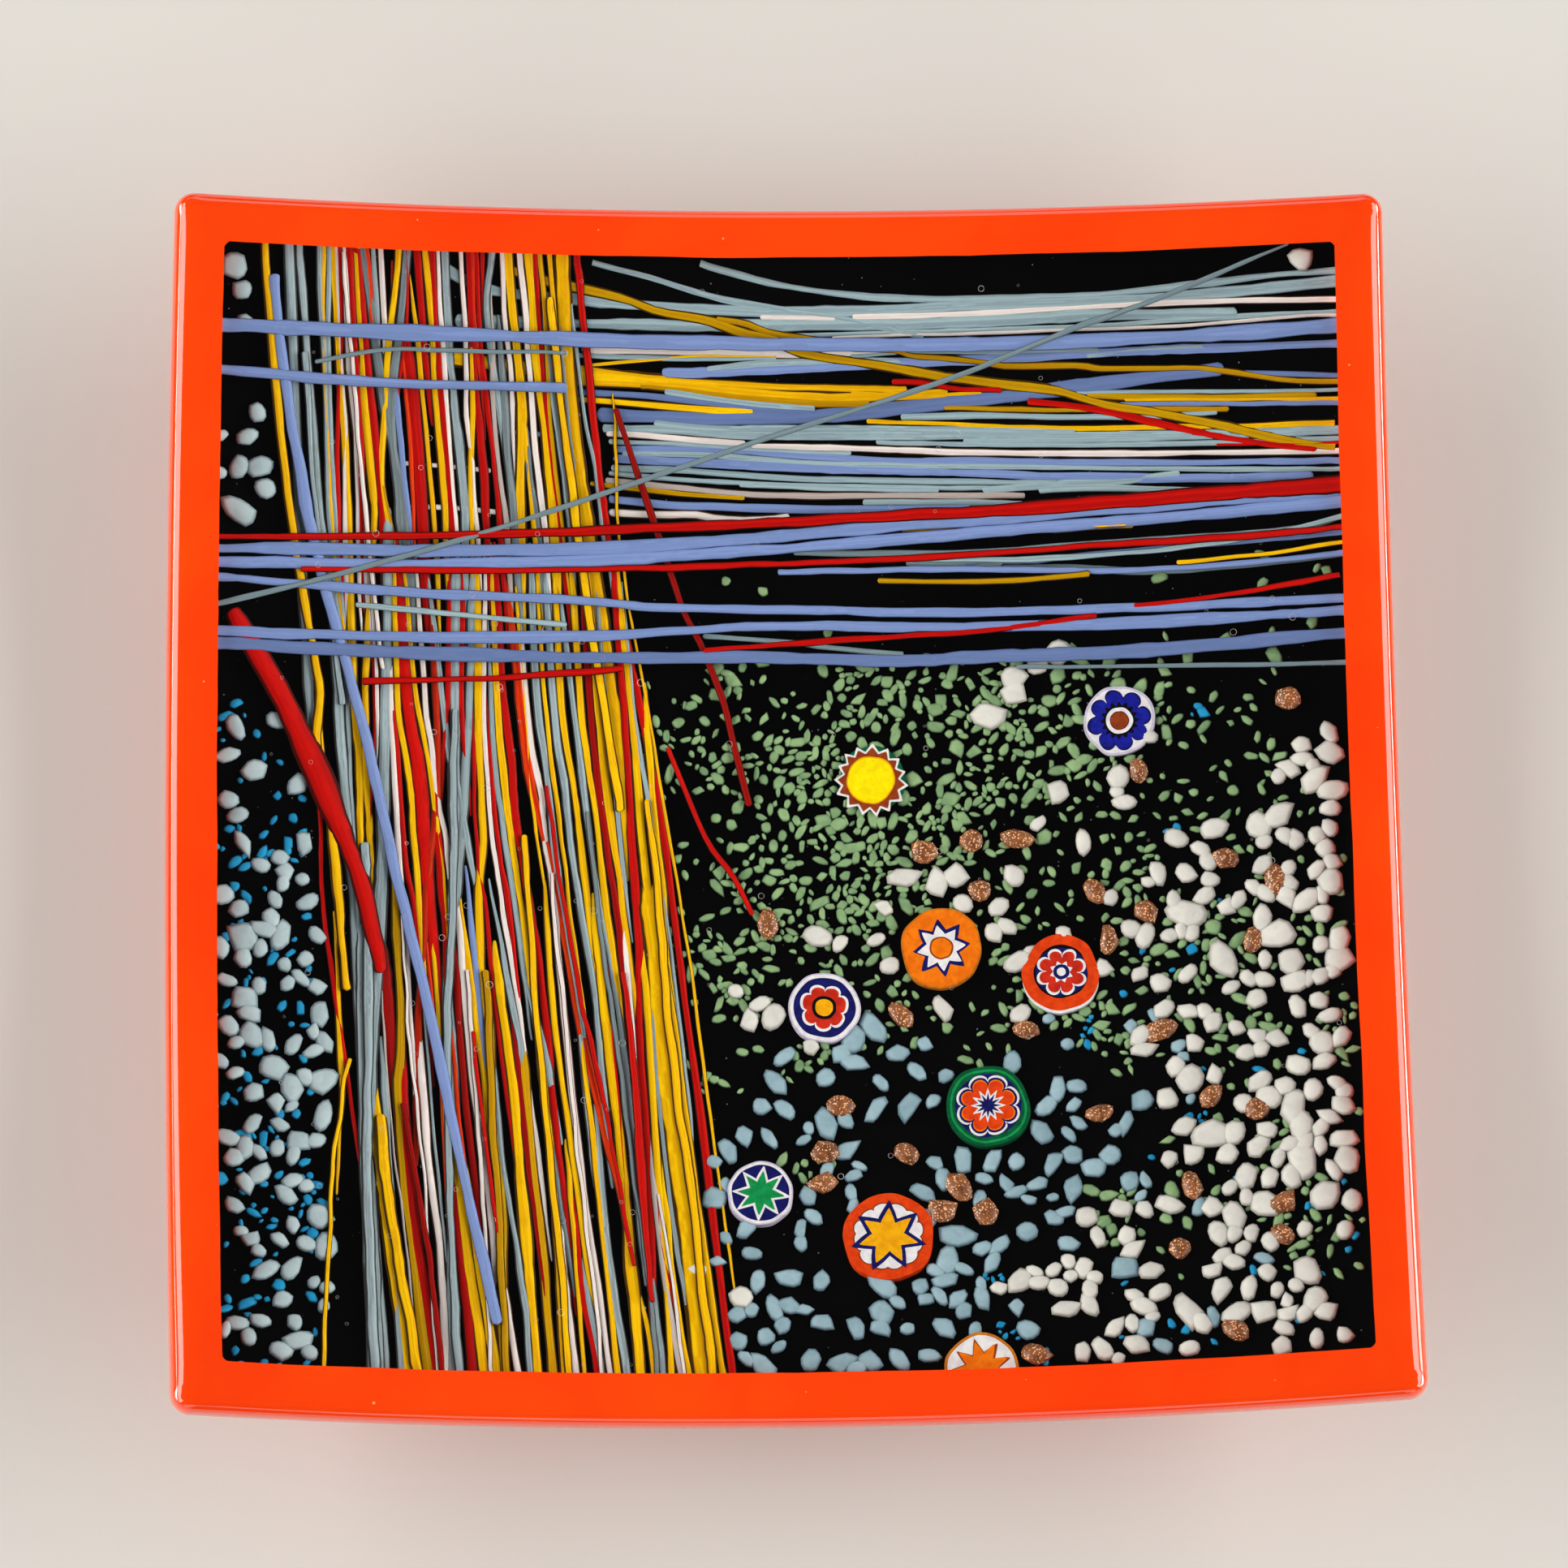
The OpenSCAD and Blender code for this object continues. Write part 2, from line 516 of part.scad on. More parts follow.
function fine_piece(i, j) = let(
        room = fine_pitch / 2 - frit_gap / 2,
        r = min(room, mix(0.5, 1, scatter(i, j, 4)) * fine_r),
        shake = room - r,
        p = [(i + 0.5 * (j % 2)) * fine_pitch + shake * (scatter(i, j, 5) * 2 - 1),
            j * fine_pitch + shake * (scatter(i, j, 6) * 2 - 1)],
        kind = kind_at(p, fine_patches, i, j, 40))
    [p, r, kind != "" && is_free(p, r) && clear_of_coarse(p, r) ? kind : ""];

// Fine frit only has to look at the coarse pieces round it
function clear_of_coarse(p, r) = let(
        j0 = round(p[1] / coarse_pitch), i0 = round(p[0] / coarse_pitch))
    min([for (j = [j0 - 1:j0 + 1]) for (i = [i0 - 2:i0 + 1])
        let(c = coarse_piece(i, j)) c[2] == "" ? 99 : norm(p - c[0]) - c[1]]) > r + frit_gap;

function coarse_frit(kind) = let(n = ceil(layout_half / coarse_pitch))
    [for (j = [-n:n]) for (i = [-n:n]) let(c = coarse_piece(i, j)) if (c[2] == kind) c];
function fine_frit(kind) = let(n = ceil(layout_half / fine_pitch))
    [for (j = [-n:n]) for (i = [-n:n]) let(c = fine_piece(i, j)) if (c[2] == kind) c];

// A low six-sided lump with its foot near the black panel
sides = 6;
function lump_points(piece, height) = let(
        turn = 360 * scatter(piece[0][0], piece[0][1], 7),
        foot = panel_top - lay_gap)
    [for (k = [0:sides - 1]) let(
            a = turn + 360 * k / sides,
            r = piece[1] * mix(0.72, 1, scatter(piece[0][0], piece[0][1], 8 + k)))
        laid(piece[0] + r * [cos(a), sin(a)], foot),
        laid(piece[0], foot - height)];
lump_faces = [[for (k = [0:sides - 1]) k], for (k = [0:sides - 1]) [(k + 1) % sides, k, sides]];

module lumps(pieces, height) {
    step = sides + 1;
    polyhedron(points = [for (piece = pieces) each lump_points(piece, height)],
        faces = [for (i = [0:len(pieces) - 1]) for (f = lump_faces) [for (v = f) v + i * step]]);
}

lump_t = inlay_t - 2 * lay_gap;
grain_t = 0.7 * lump_t;

module frit_white() { color(white) lumps(coarse_frit("white"), lump_t); }
module frit_ice() { color(ice) lumps(coarse_frit("ice"), lump_t); }
module frit_pale() { color(pale) lumps(coarse_frit("pale"), lump_t); }
module frit_green() { color(green) lumps(fine_frit("green"), grain_t); }
module frit_turquoise() { color(turquoise) lumps(fine_frit("turquoise"), grain_t); }
module frit_copper() {
    color(copper) lumps([for (f = flakes) [f, flake_r]], lump_t);
}

base_sheet();
black_panel();
border_top();
border_bottom();
border_left();
border_right();
clear_cap();
under_light();
under_white();
under_periwinkle();
under_yellow();
under_red();
bundle_yellow();
bundle_red();
bundle_white();
bundle_grey();
bundle_orange();
bundle_periwinkle();
crossing_yellow();
crossing_grey();
crossing_white();
crossing_red();
long_periwinkle();
red_rod();
loose_red();
yellow_thread();
over_periwinkle();
over_light();
over_red();
over_yellow();
diagonal_stringer();
slice_blue_flower();
slice_yellow_sun();
slice_orange_star();
slice_red_flower();
slice_navy_flower();
slice_green_ring();
slice_green_star();
slice_yellow_star();
slice_amber_star();
frit_white();
frit_ice();
frit_pale();
frit_green();
frit_turquoise();
frit_copper();
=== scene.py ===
import bpy
import bmesh
import math
import random
from mathutils import Vector, Matrix, noise


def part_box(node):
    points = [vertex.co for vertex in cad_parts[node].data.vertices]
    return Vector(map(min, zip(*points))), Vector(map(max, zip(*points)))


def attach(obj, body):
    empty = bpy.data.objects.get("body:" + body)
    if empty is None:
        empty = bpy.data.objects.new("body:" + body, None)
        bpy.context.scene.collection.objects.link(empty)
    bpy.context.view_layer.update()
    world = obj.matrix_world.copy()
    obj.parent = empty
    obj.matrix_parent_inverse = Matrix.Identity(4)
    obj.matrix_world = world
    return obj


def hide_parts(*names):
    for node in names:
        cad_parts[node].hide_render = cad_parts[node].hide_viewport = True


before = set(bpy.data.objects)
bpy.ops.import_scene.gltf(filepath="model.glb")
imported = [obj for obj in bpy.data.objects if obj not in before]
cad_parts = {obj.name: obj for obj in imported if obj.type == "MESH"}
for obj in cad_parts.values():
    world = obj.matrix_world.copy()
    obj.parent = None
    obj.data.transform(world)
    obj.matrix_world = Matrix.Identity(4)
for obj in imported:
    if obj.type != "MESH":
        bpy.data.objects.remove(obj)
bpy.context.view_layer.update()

scene = bpy.context.scene
scene.view_settings.view_transform = "Standard"

# The blank is modelled flat, in millimetres: x and y across it, z up from its front face.
# slump() then drops every piece into the dish, as the kiln does.
toMetres, toMm, tiny = 0.001, 1000, 1e-9
dish = {"blankHalf": 98.0, "borderWidth": 7.0, "baseDepth": 6.0, "thickness": 9.0, "bowlRadius": 280.0}
panelHalf = dish["blankHalf"] - dish["borderWidth"]
panelTop = -4.0
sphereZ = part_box("black_panel")[0].z * toMm + dish["bowlRadius"] + dish["baseDepth"]


def slump(p):
    across = max(math.hypot(p.x, p.y), tiny)
    angle = across / dish["bowlRadius"]
    r = dish["bowlRadius"] - p.z
    side = r * math.sin(angle) / across
    return Vector((p.x * side, p.y * side, sphereZ - r * math.cos(angle))) * toMetres


# Where a point of the dish lay on the flat blank
def unslump(co):
    x, y, down = co.x * toMm, co.y * toMm, sphereZ - co.z * toMm
    away = max(math.hypot(x, y), tiny)
    along = math.atan2(away, down) * dish["bowlRadius"] / away
    return Vector((x * along, y * along, dish["bowlRadius"] - math.sqrt(away * away + down * down)))


# Cuts bm along a plane; with clear, what lies past the plane goes and the hole is closed
def cutAt(bm, place, normal, clear=False):
    geom = bm.verts[:] + bm.edges[:] + bm.faces[:]
    bmesh.ops.bisect_plane(bm, geom=geom, plane_co=place, plane_no=normal, clear_outer=clear)
    if clear:
        bmesh.ops.holes_fill(bm, edges=[e for e in bm.edges if e.is_boundary])


def pieceName(node):
    first, *rest = node.split("_")
    return first + "".join(word.capitalize() for word in rest)


# Slumps bm and makes the piece; edges that bend by more than sharp degrees stay crisp
def finishPiece(bm, name, materials, nodes, sharp=80, foot=False):
    bmesh.ops.recalc_face_normals(bm, faces=bm.faces)
    for v in bm.verts:
        v.co = slump(v.co)
    if foot:  # ground flat where it stands
        cutAt(bm, (0, 0, 0), (0, 0, -1), clear=True)
        bmesh.ops.recalc_face_normals(bm, faces=bm.faces)
    for f in bm.faces:
        f.smooth = True
    floorGap = 1e-6
    for e in bm.edges:
        e.smooth = len(e.link_faces) == 2 and e.calc_face_angle(0) < math.radians(sharp)
        if foot and all(abs(v.co.z) < floorGap for v in e.verts):
            e.smooth = False
    mesh = bpy.data.meshes.new(name)
    bm.to_mesh(mesh)
    bm.free()
    for m in materials:
        mesh.materials.append(m)
    piece = bpy.data.objects.new(name, mesh)
    scene.collection.objects.link(piece)
    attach(piece, "root")
    if nodes:
        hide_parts(*nodes)


# Shader groups shared by the glasses

def newGroup(name, inputs, outputs):
    group = bpy.data.node_groups.new(name, "ShaderNodeTree")
    for label, value in inputs.items():
        socket = group.interface.new_socket(label, in_out="INPUT", socket_type="NodeSocketFloat")
        socket.default_value = value
    for label in outputs:
        group.interface.new_socket(label, in_out="OUTPUT", socket_type="NodeSocketFloat")
    return group, group.nodes.new("NodeGroupInput"), group.nodes.new("NodeGroupOutput")


def addNode(tree, kind, values=None, **props):
    made = tree.nodes.new(kind)
    for key, value in props.items():
        setattr(made, key, value)
    for key, value in (values or {}).items():
        made.inputs[key].default_value = value
    return made


def mathNode(tree, operation, a, b=None, clamp=False):
    made = addNode(tree, "ShaderNodeMath", operation=operation, use_clamp=clamp)
    for i, value in enumerate((a, b)):
        if value is None:
            continue
        if isinstance(value, (int, float)):
            made.inputs[i].default_value = value
        else:
            tree.links.new(value, made.inputs[i])
    return made.outputs[0]


def mixColor(tree, factor, a, b):
    made = addNode(tree, "ShaderNodeMix", data_type="RGBA")
    for socket, value in ((made.inputs["Factor"], factor), (made.inputs[6], a), (made.inputs[7], b)):
        if isinstance(value, tuple):
            socket.default_value = (*value, 1)
        else:
            tree.links.new(value, socket)
    return made.outputs[2]


def ramp(tree, value, low, high):
    limits = {"From Min": low, "From Max": high}
    made = addNode(tree, "ShaderNodeMapRange", limits, interpolation_type="SMOOTHSTEP")
    tree.links.new(value, made.inputs["Value"])
    return made.outputs["Result"]


# Slow cloudy change of colour inside the glass, and the faint waviness of a fired surface
def buildMeltGroup():
    inputs = {"Scale": 60.0, "Fine Scale": 900.0}
    group, into, out = newGroup("melt", inputs, ("Cloud", "Grain", "Height"))
    place = addNode(group, "ShaderNodeTexCoord")
    cloud = addNode(group, "ShaderNodeTexNoise", {"Detail": 3.0, "Roughness": 0.55, "Distortion": 0.6})
    grain = addNode(group, "ShaderNodeTexNoise", {"Detail": 2.0, "Roughness": 0.6})
    for made, socket in ((cloud, "Scale"), (grain, "Fine Scale")):
        group.links.new(place.outputs["Object"], made.inputs["Vector"])
        group.links.new(into.outputs[socket], made.inputs["Scale"])
    fine = mathNode(group, "MULTIPLY", grain.outputs["Fac"], 0.06)
    height = mathNode(group, "ADD", cloud.outputs["Fac"], fine)
    group.links.new(ramp(group, cloud.outputs["Fac"], 0.3, 0.7), out.inputs["Cloud"])
    group.links.new(ramp(group, grain.outputs["Fac"], 0.3, 0.7), out.inputs["Grain"])
    group.links.new(height, out.inputs["Height"])
    return group


# Dust and pinholes: sparse round specks of an even spread of sizes
def buildSpeckGroup():
    group, into, out = newGroup("specks", {"Scale": 400.0, "Size": 0.12, "Share": 0.1}, ("Mask",))
    place = addNode(group, "ShaderNodeTexCoord")
    cells = addNode(group, "ShaderNodeTexVoronoi")
    group.links.new(place.outputs["Object"], cells.inputs["Vector"])
    group.links.new(into.outputs["Scale"], cells.inputs["Scale"])
    pick = addNode(group, "ShaderNodeSeparateColor")
    group.links.new(cells.outputs["Color"], pick.inputs[0])
    chosen = mathNode(group, "LESS_THAN", pick.outputs[0], into.outputs["Share"])
    spread = mathNode(group, "ADD", pick.outputs[1], 0.3)
    radius = mathNode(group, "MULTIPLY", into.outputs["Size"], spread)
    inside = mathNode(group, "LESS_THAN", cells.outputs["Distance"], radius)
    group.links.new(mathNode(group, "MULTIPLY", chosen, inside), out.inputs["Mask"])
    return group


meltGroup = buildMeltGroup()
speckGroup = buildSpeckGroup()


def placeGroup(tree, group, values):
    return addNode(tree, "ShaderNodeGroup", values, node_tree=group)


def addMelt(tree, scale, fineScale):
    return placeGroup(tree, meltGroup, {"Scale": scale, "Fine Scale": fineScale})


def newMaterial(name, principled):
    material = bpy.data.materials.new(name)
    material.use_nodes = True
    tree = material.node_tree
    shader = tree.nodes["Principled BSDF"]
    for key, value in principled.items():
        shader.inputs[key].default_value = value
    return material, tree, shader


def setColor(tree, shader, color):
    tree.links.new(color, shader.inputs["Base Color"])


def addBump(tree, shader, melt, strength, distance):
    bump = addNode(tree, "ShaderNodeBump", {"Strength": strength, "Distance": distance})
    tree.links.new(melt.outputs["Height"], bump.inputs["Height"])
    tree.links.new(bump.outputs[0], shader.inputs["Normal"])


# Outer glass that meets the air: orange border and base

orangeLook = {
    "bright": (1.0, 0.064, 0.0),
    "deep": (0.98, 0.046, 0.0),
    "speck": (1.0, 0.3, 0.12),
    "specks": {"Scale": 800.0, "Size": 0.15, "Share": 0.02},
    "melt": (25.0, 1400.0),
    "bump": (0.1, 0.001),
    "surface": {"Roughness": 0.07, "IOR": 1.45, "Coat Weight": 1.0, "Coat Roughness": 0.03, "Coat IOR": 1.65},
}


def orangeGlass():
    material, tree, shader = newMaterial("orangeGlass", orangeLook["surface"])
    melt = addMelt(tree, *orangeLook["melt"])
    specks = placeGroup(tree, speckGroup, orangeLook["specks"])
    color = mixColor(tree, melt.outputs["Cloud"], orangeLook["bright"], orangeLook["deep"])
    setColor(tree, shader, mixColor(tree, specks.outputs["Mask"], color, orangeLook["speck"]))
    addBump(tree, shader, melt, *orangeLook["bump"])
    return material


# Glass that lies under the clear cap has no gloss of its own: the cap carries it

underCap = {"Roughness": 0.5, "Specular IOR Level": 0.05}


def caneGlass(name, bright, deep):
    material, tree, shader = newMaterial(name, underCap)
    melt = addMelt(tree, 700.0, 2600.0)
    color = mixColor(tree, melt.outputs["Cloud"], bright, deep)
    grain = mathNode(tree, "MULTIPLY", melt.outputs["Grain"], 0.18)
    setColor(tree, shader, mixColor(tree, grain, color, deep))
    addBump(tree, shader, melt, 0.1, 0.0005)
    return material


blackLook = {
    "ground": (0.0004, 0.0004, 0.0005),
    "haze": (0.0014, 0.0014, 0.0017),
    "dust": (0.2, 0.21, 0.22),
    "specks": {"Scale": 950.0, "Size": 0.085, "Share": 0.16},
    "surface": {"Roughness": 0.4, "Specular IOR Level": 0.0},
}


def blackGlass():
    material, tree, shader = newMaterial("blackGlass", blackLook["surface"])
    dust = placeGroup(tree, speckGroup, blackLook["specks"])
    haze = addMelt(tree, 14.0, 500.0)
    color = mixColor(tree, haze.outputs["Cloud"], blackLook["ground"], blackLook["haze"])
    setColor(tree, shader, mixColor(tree, dust.outputs["Mask"], color, blackLook["dust"]))
    return material


# What each point of a loose piece carries: its place across the piece, and the piece's own tint
def pieceValues(tree):
    made = [addNode(tree, "ShaderNodeAttribute", attribute_name=name) for name in ("across", "tint")]
    return [node.outputs["Fac"] for node in made]


strandLook = {
    "streakAcross": 1.7, "streakTint": 90.0, "streakCloud": 0.8, "streakRamp": (0.35, 0.68), "tinted": 0.35,
    "streaks": {"Scale": 1.3, "Detail": 3.0, "Roughness": 0.6},
    "dullFrom": (0.82, 0.95), "dull": 0.45, "edgeWidth": 0.16,
}


# A drawn stringer: streaks along it, darker towards its sides, and its own tint
def strandGlass(name, bright, deep, edge, edgeAt):
    material, tree, shader = newMaterial(name, underCap)
    melt = addMelt(tree, 90.0, 2400.0)
    across, tint = pieceValues(tree)
    place = addNode(tree, "ShaderNodeCombineXYZ")
    shares = (across, "streakAcross"), (tint, "streakTint"), (melt.outputs["Cloud"], "streakCloud")
    for socket, (value, key) in zip(place.inputs, shares):
        tree.links.new(mathNode(tree, "MULTIPLY", value, strandLook[key]), socket)
    streaks = addNode(tree, "ShaderNodeTexNoise", strandLook["streaks"])
    tree.links.new(place.outputs[0], streaks.inputs["Vector"])
    streak = ramp(tree, streaks.outputs["Fac"], *strandLook["streakRamp"])
    tinted = mathNode(tree, "MULTIPLY", tint, strandLook["tinted"])
    color = mixColor(tree, mathNode(tree, "ADD", streak, tinted, clamp=True), bright, deep)
    dull = mathNode(tree, "MULTIPLY", ramp(tree, tint, *strandLook["dullFrom"]), strandLook["dull"])
    color = mixColor(tree, dull, color, edge)
    side = ramp(tree, mathNode(tree, "ABSOLUTE", across), edgeAt, edgeAt + strandLook["edgeWidth"])
    setColor(tree, shader, mixColor(tree, side, color, edge))
    return material


# Frit: paler and thinner at its melted rim, mottled inside, each piece with its own tint
def fritGlass(name, bright, deep, rim):
    material, tree, shader = newMaterial(name, underCap)
    melt = addMelt(tree, 420.0, 3000.0)
    across, tint = pieceValues(tree)
    mood = mathNode(tree, "MULTIPLY", mathNode(tree, "ADD", melt.outputs["Cloud"], tint), 0.5)
    color = mixColor(tree, mood, bright, deep)
    setColor(tree, shader, mixColor(tree, ramp(tree, across, 0.6, 1.0), color, rim))
    return material


copperLook = {
    # The glint colour is a painted highlight: the crystals' sparkle drawn as bright base colour
    "bright": (0.3, 0.1, 0.03), "deep": (0.13, 0.04, 0.012), "glint": (1.0, 0.55, 0.3),
    "crystals": 5200.0, "crystalPaintedGlintRamp": (0.8, 0.92),
}


# Copper glass: close-set copper crystals in brown glass, their sparkle a painted highlight: bright base colour on
# a share of the crystals
def copperGlass():
    material, tree, shader = newMaterial("copperGlass", {"Roughness": 0.35})
    place = addNode(tree, "ShaderNodeTexCoord")
    crystals = addNode(tree, "ShaderNodeTexVoronoi", {"Scale": copperLook["crystals"]})
    tree.links.new(place.outputs["Object"], crystals.inputs["Vector"])
    pick = addNode(tree, "ShaderNodeSeparateColor")
    tree.links.new(crystals.outputs["Color"], pick.inputs[0])
    melt = addMelt(tree, 500.0, 3000.0)
    color = mixColor(tree, melt.outputs["Cloud"], copperLook["bright"], copperLook["deep"])
    # Painted highlight: the cells picked here get the bright glint colour in place of a real sparkle
    glint = ramp(tree, pick.outputs[0], *copperLook["crystalPaintedGlintRamp"])
    setColor(tree, shader, mixColor(tree, glint, color, copperLook["glint"]))
    return material


# The cap shows as sheen only: clear through, with a mirror that grows towards glancing angles
def clearGlass():
    values = {"Base Color": (1, 1, 1, 1), "Metallic": 1.0, "Roughness": 0.03}
    material, tree, shader = newMaterial("clearGlass", values)
    addBump(tree, shader, addMelt(tree, 70.0, 900.0), 0.06, 0.0006)
    sheen = addNode(tree, "ShaderNodeFresnel", {"IOR": 1.5})
    facing = addNode(tree, "ShaderNodeNewGeometry")
    through = addNode(tree, "ShaderNodeBsdfTransparent")
    choose = addNode(tree, "ShaderNodeMixShader")
    front = mathNode(tree, "SUBTRACT", 1.0, facing.outputs["Backfacing"])
    amount = mathNode(tree, "MULTIPLY", sheen.outputs[0], front)
    tree.links.new(amount, choose.inputs[0])
    tree.links.new(through.outputs[0], choose.inputs[1])
    tree.links.new(shader.outputs[0], choose.inputs[2])
    tree.links.new(choose.outputs[0], tree.nodes["Material Output"].inputs["Surface"])
    return material


orange = orangeGlass()
black = blackGlass()
clear = clearGlass()
# Bright, deep and edge colours of each stringer, and how far out the edge begins
strandColors = {
    "light": ((0.36, 0.5, 0.54), (0.24, 0.34, 0.39), (0.06, 0.09, 0.11), 0.8),
    "grey": ((0.38, 0.49, 0.53), (0.22, 0.28, 0.31), (0.035, 0.035, 0.035), 0.62),
    "white": ((0.88, 0.81, 0.77), (0.7, 0.62, 0.6), (0.07, 0.03, 0.02), 0.64),
    "periwinkle": ((0.22, 0.31, 0.62), (0.17, 0.25, 0.5), (0.05, 0.08, 0.2), 0.82),
    "yellow": ((0.95, 0.58, 0.0), (0.74, 0.37, 0.0), (0.055, 0.022, 0.0), 0.6),
    "red": ((0.62, 0.004, 0.001), (0.4, 0.002, 0.001), (0.05, 0.002, 0.001), 0.68),
    "ember": ((0.85, 0.06, 0.002), (0.55, 0.015, 0.002), (0.09, 0.006, 0.002), 0.66),
}
strandLooks = {key: strandGlass(key + "Stringer", *values) for key, values in strandColors.items()}
# Bright, deep and rim colours of each frit
fritColors = {
    "white": ((0.74, 0.73, 0.68), (0.58, 0.57, 0.54), (0.3, 0.29, 0.26)),
    "ice": ((0.34, 0.49, 0.56), (0.22, 0.34, 0.4), (0.08, 0.14, 0.18)),
    "pale": ((0.46, 0.57, 0.6), (0.33, 0.43, 0.47), (0.13, 0.19, 0.22)),
    "green": ((0.3, 0.46, 0.22), (0.15, 0.26, 0.13), (0.04, 0.08, 0.04)),
    "turquoise": ((0.02, 0.33, 0.6), (0.01, 0.2, 0.42), (0.003, 0.05, 0.12)),
}
fritLooks = {key: fritGlass(key + "Frit", *values) for key, values in fritColors.items()}
copper = copperGlass()
print("materials made")


# Sheets and border strips

tray = {
    "corner": 3.2, "cornerCuts": 8, "topRound": 3.1, "underRound": 5.6, "roundCuts": 9, "lip": 0.3,
    "cut": 3.5, "proud": 0.1, "wander": 0.35, "slowWander": 0.06, "quickWander": 0.3,
    "innerRound": 1.8, "filletSides": 32, "filletSink": 0.02, "filletOverlap": 0.2, "capOverlap": 0.05,
}


def flatBox(half, bottom, top):
    low, high = Vector((-half, -half, bottom)), Vector((half, half, top))
    bm = bmesh.new()
    bmesh.ops.create_cube(bm, size=1.0)
    bmesh.ops.scale(bm, vec=high - low, verts=bm.verts)
    bmesh.ops.translate(bm, vec=(low + high) / 2, verts=bm.verts)
    return bm


def roundCorners(bm):
    half = dish["blankHalf"] - 0.001
    edges = [e for e in bm.edges if all(abs(v.co.x) > half and abs(v.co.y) > half for v in e.verts)]
    cuts = tray["cornerCuts"]
    bmesh.ops.bevel(bm, geom=edges, offset=tray["corner"], segments=cuts, profile=0.5, affect="EDGES", material=-1)


# Cuts bm both ways into strips of about the step, so that it can bend
def cutGrid(bm, half, step, ends=False):
    count = round(2 * half / step)
    for normal in (Vector((1, 0, 0)), Vector((0, 1, 0))):
        for i in range(0 if ends else 1, count + 1 if ends else count):
            cutAt(bm, normal * (2 * half * i / count - half), normal)


def rimInset(z):
    inset = 0.0
    for radius, away in ((tray["topRound"], tray["proud"] - z), (tray["underRound"], z + dish["thickness"])):
        if away < radius:
            inset = max(inset, radius - math.sqrt(max(radius * radius - (radius - away) ** 2, 0)))
    return inset


def narrow(v, share):
    v.co.x *= share
    v.co.y *= share


# How far the border flowed in over the panel's edge, as a share of the wander
def edgePull(co):
    along = co.y if abs(co.x) > abs(co.y) else co.x
    side = math.atan2(co.y, co.x) // (math.pi / 2)
    slow = noise.noise(Vector((along * tray["slowWander"], side * 9.1, 2)))
    quick = noise.noise(Vector((along * tray["quickWander"], side, 7)))
    return 0.5 + 0.5 * slow + 0.2 * quick


# Raises or lowers a copy of the faces and gives the points that moved
def extrudeBy(bm, faces, height, keep):
    made = bmesh.ops.extrude_face_region(bm, geom=faces, use_keep_orig=keep)
    moved = [g for g in made["geom"] if isinstance(g, bmesh.types.BMVert)]
    bmesh.ops.translate(bm, vec=(0, 0, height), verts=moved)
    return moved


# Orange glass that flowed into an inner corner of the border
def addCornerFillet(bm, turned):
    outside, middle = panelHalf + tray["filletOverlap"], panelHalf - tray["innerRound"]
    sides, near = tray["filletSides"], 0.001
    made = bmesh.ops.create_circle(bm, cap_ends=True, radius=tray["innerRound"], segments=sides)["verts"]
    for v in made:
        v.co += Vector((middle, middle, tray["proud"] - tray["filletSink"]))
        if min(v.co.x, v.co.y) < middle - near:
            v.co.x = v.co.y = outside
    bmesh.ops.remove_doubles(bm, verts=made, dist=near / 10)
    sheet = next(v.link_faces[0] for v in made if v.is_valid)
    lowered = extrudeBy(bm, [sheet], -dish["thickness"] / 2, True)
    bmesh.ops.transform(bm, matrix=turned, verts=list(sheet.verts) + lowered)


# One fused tray: base sheet and border strips with a fire-rounded rim, and a recess for the panel
def buildTray():
    half, inner, top, cuts = dish["blankHalf"], panelHalf, tray["proud"], tray["roundCuts"]
    bm = flatBox(half, -dish["thickness"], top)
    roundCorners(bm)
    for k in range(1, cuts + 1):
        bend = 1 - math.cos(k * math.pi / (2 * cuts))
        for level in (top - tray["topRound"] * bend, tray["underRound"] * bend - dish["thickness"]):
            cutAt(bm, (0, 0, level), (0, 0, 1))
    for v in bm.verts:
        narrow(v, 1 - rimInset(v.co.z) / half)
    cutGrid(bm, inner, tray["cut"], ends=True)
    lip = half - tray["topRound"] - tray["lip"]
    cutGrid(bm, lip, 2 * lip, ends=True)
    upward = [f for f in bm.faces if f.normal.z > 0.9]
    recess = [f for f in upward if max(abs(c) for c in f.calc_center_median()[:2]) < inner]
    extrudeBy(bm, recess, -dish["baseDepth"] - top, False)
    bmesh.ops.delete(bm, geom=[f for f in recess if f.is_valid], context="FACES_ONLY")
    for v in bm.verts:
        if abs(max(abs(v.co.x), abs(v.co.y)) - inner) < 0.01 and v.co.z > -1:
            narrow(v, 1 - tray["wander"] * edgePull(v.co) / inner)
    for turn in range(4):
        addCornerFillet(bm, Matrix.Rotation(turn * math.pi / 2, 4, "Z"))
    nodes = ["base_sheet", "border_top", "border_bottom", "border_left", "border_right"]
    finishPiece(bm, "orangeTray", [orange], nodes, sharp=60, foot=True)


def buildPanel():
    bm = flatBox(panelHalf, -dish["baseDepth"], panelTop)
    cutGrid(bm, panelHalf, tray["cut"])
    finishPiece(bm, "blackPanel", [black], ["black_panel"], sharp=45)
    bm = flatBox(panelHalf, panelTop - tray["capOverlap"], 0)
    cutGrid(bm, panelHalf, tray["cut"] / 2)
    finishPiece(bm, "clearCap", [clear], ["clear_cap"], sharp=45)


buildTray()
buildPanel()
print("tray, panel and cap made")


# Reading the loose pieces of a CAD node: each island of its mesh, laid flat again

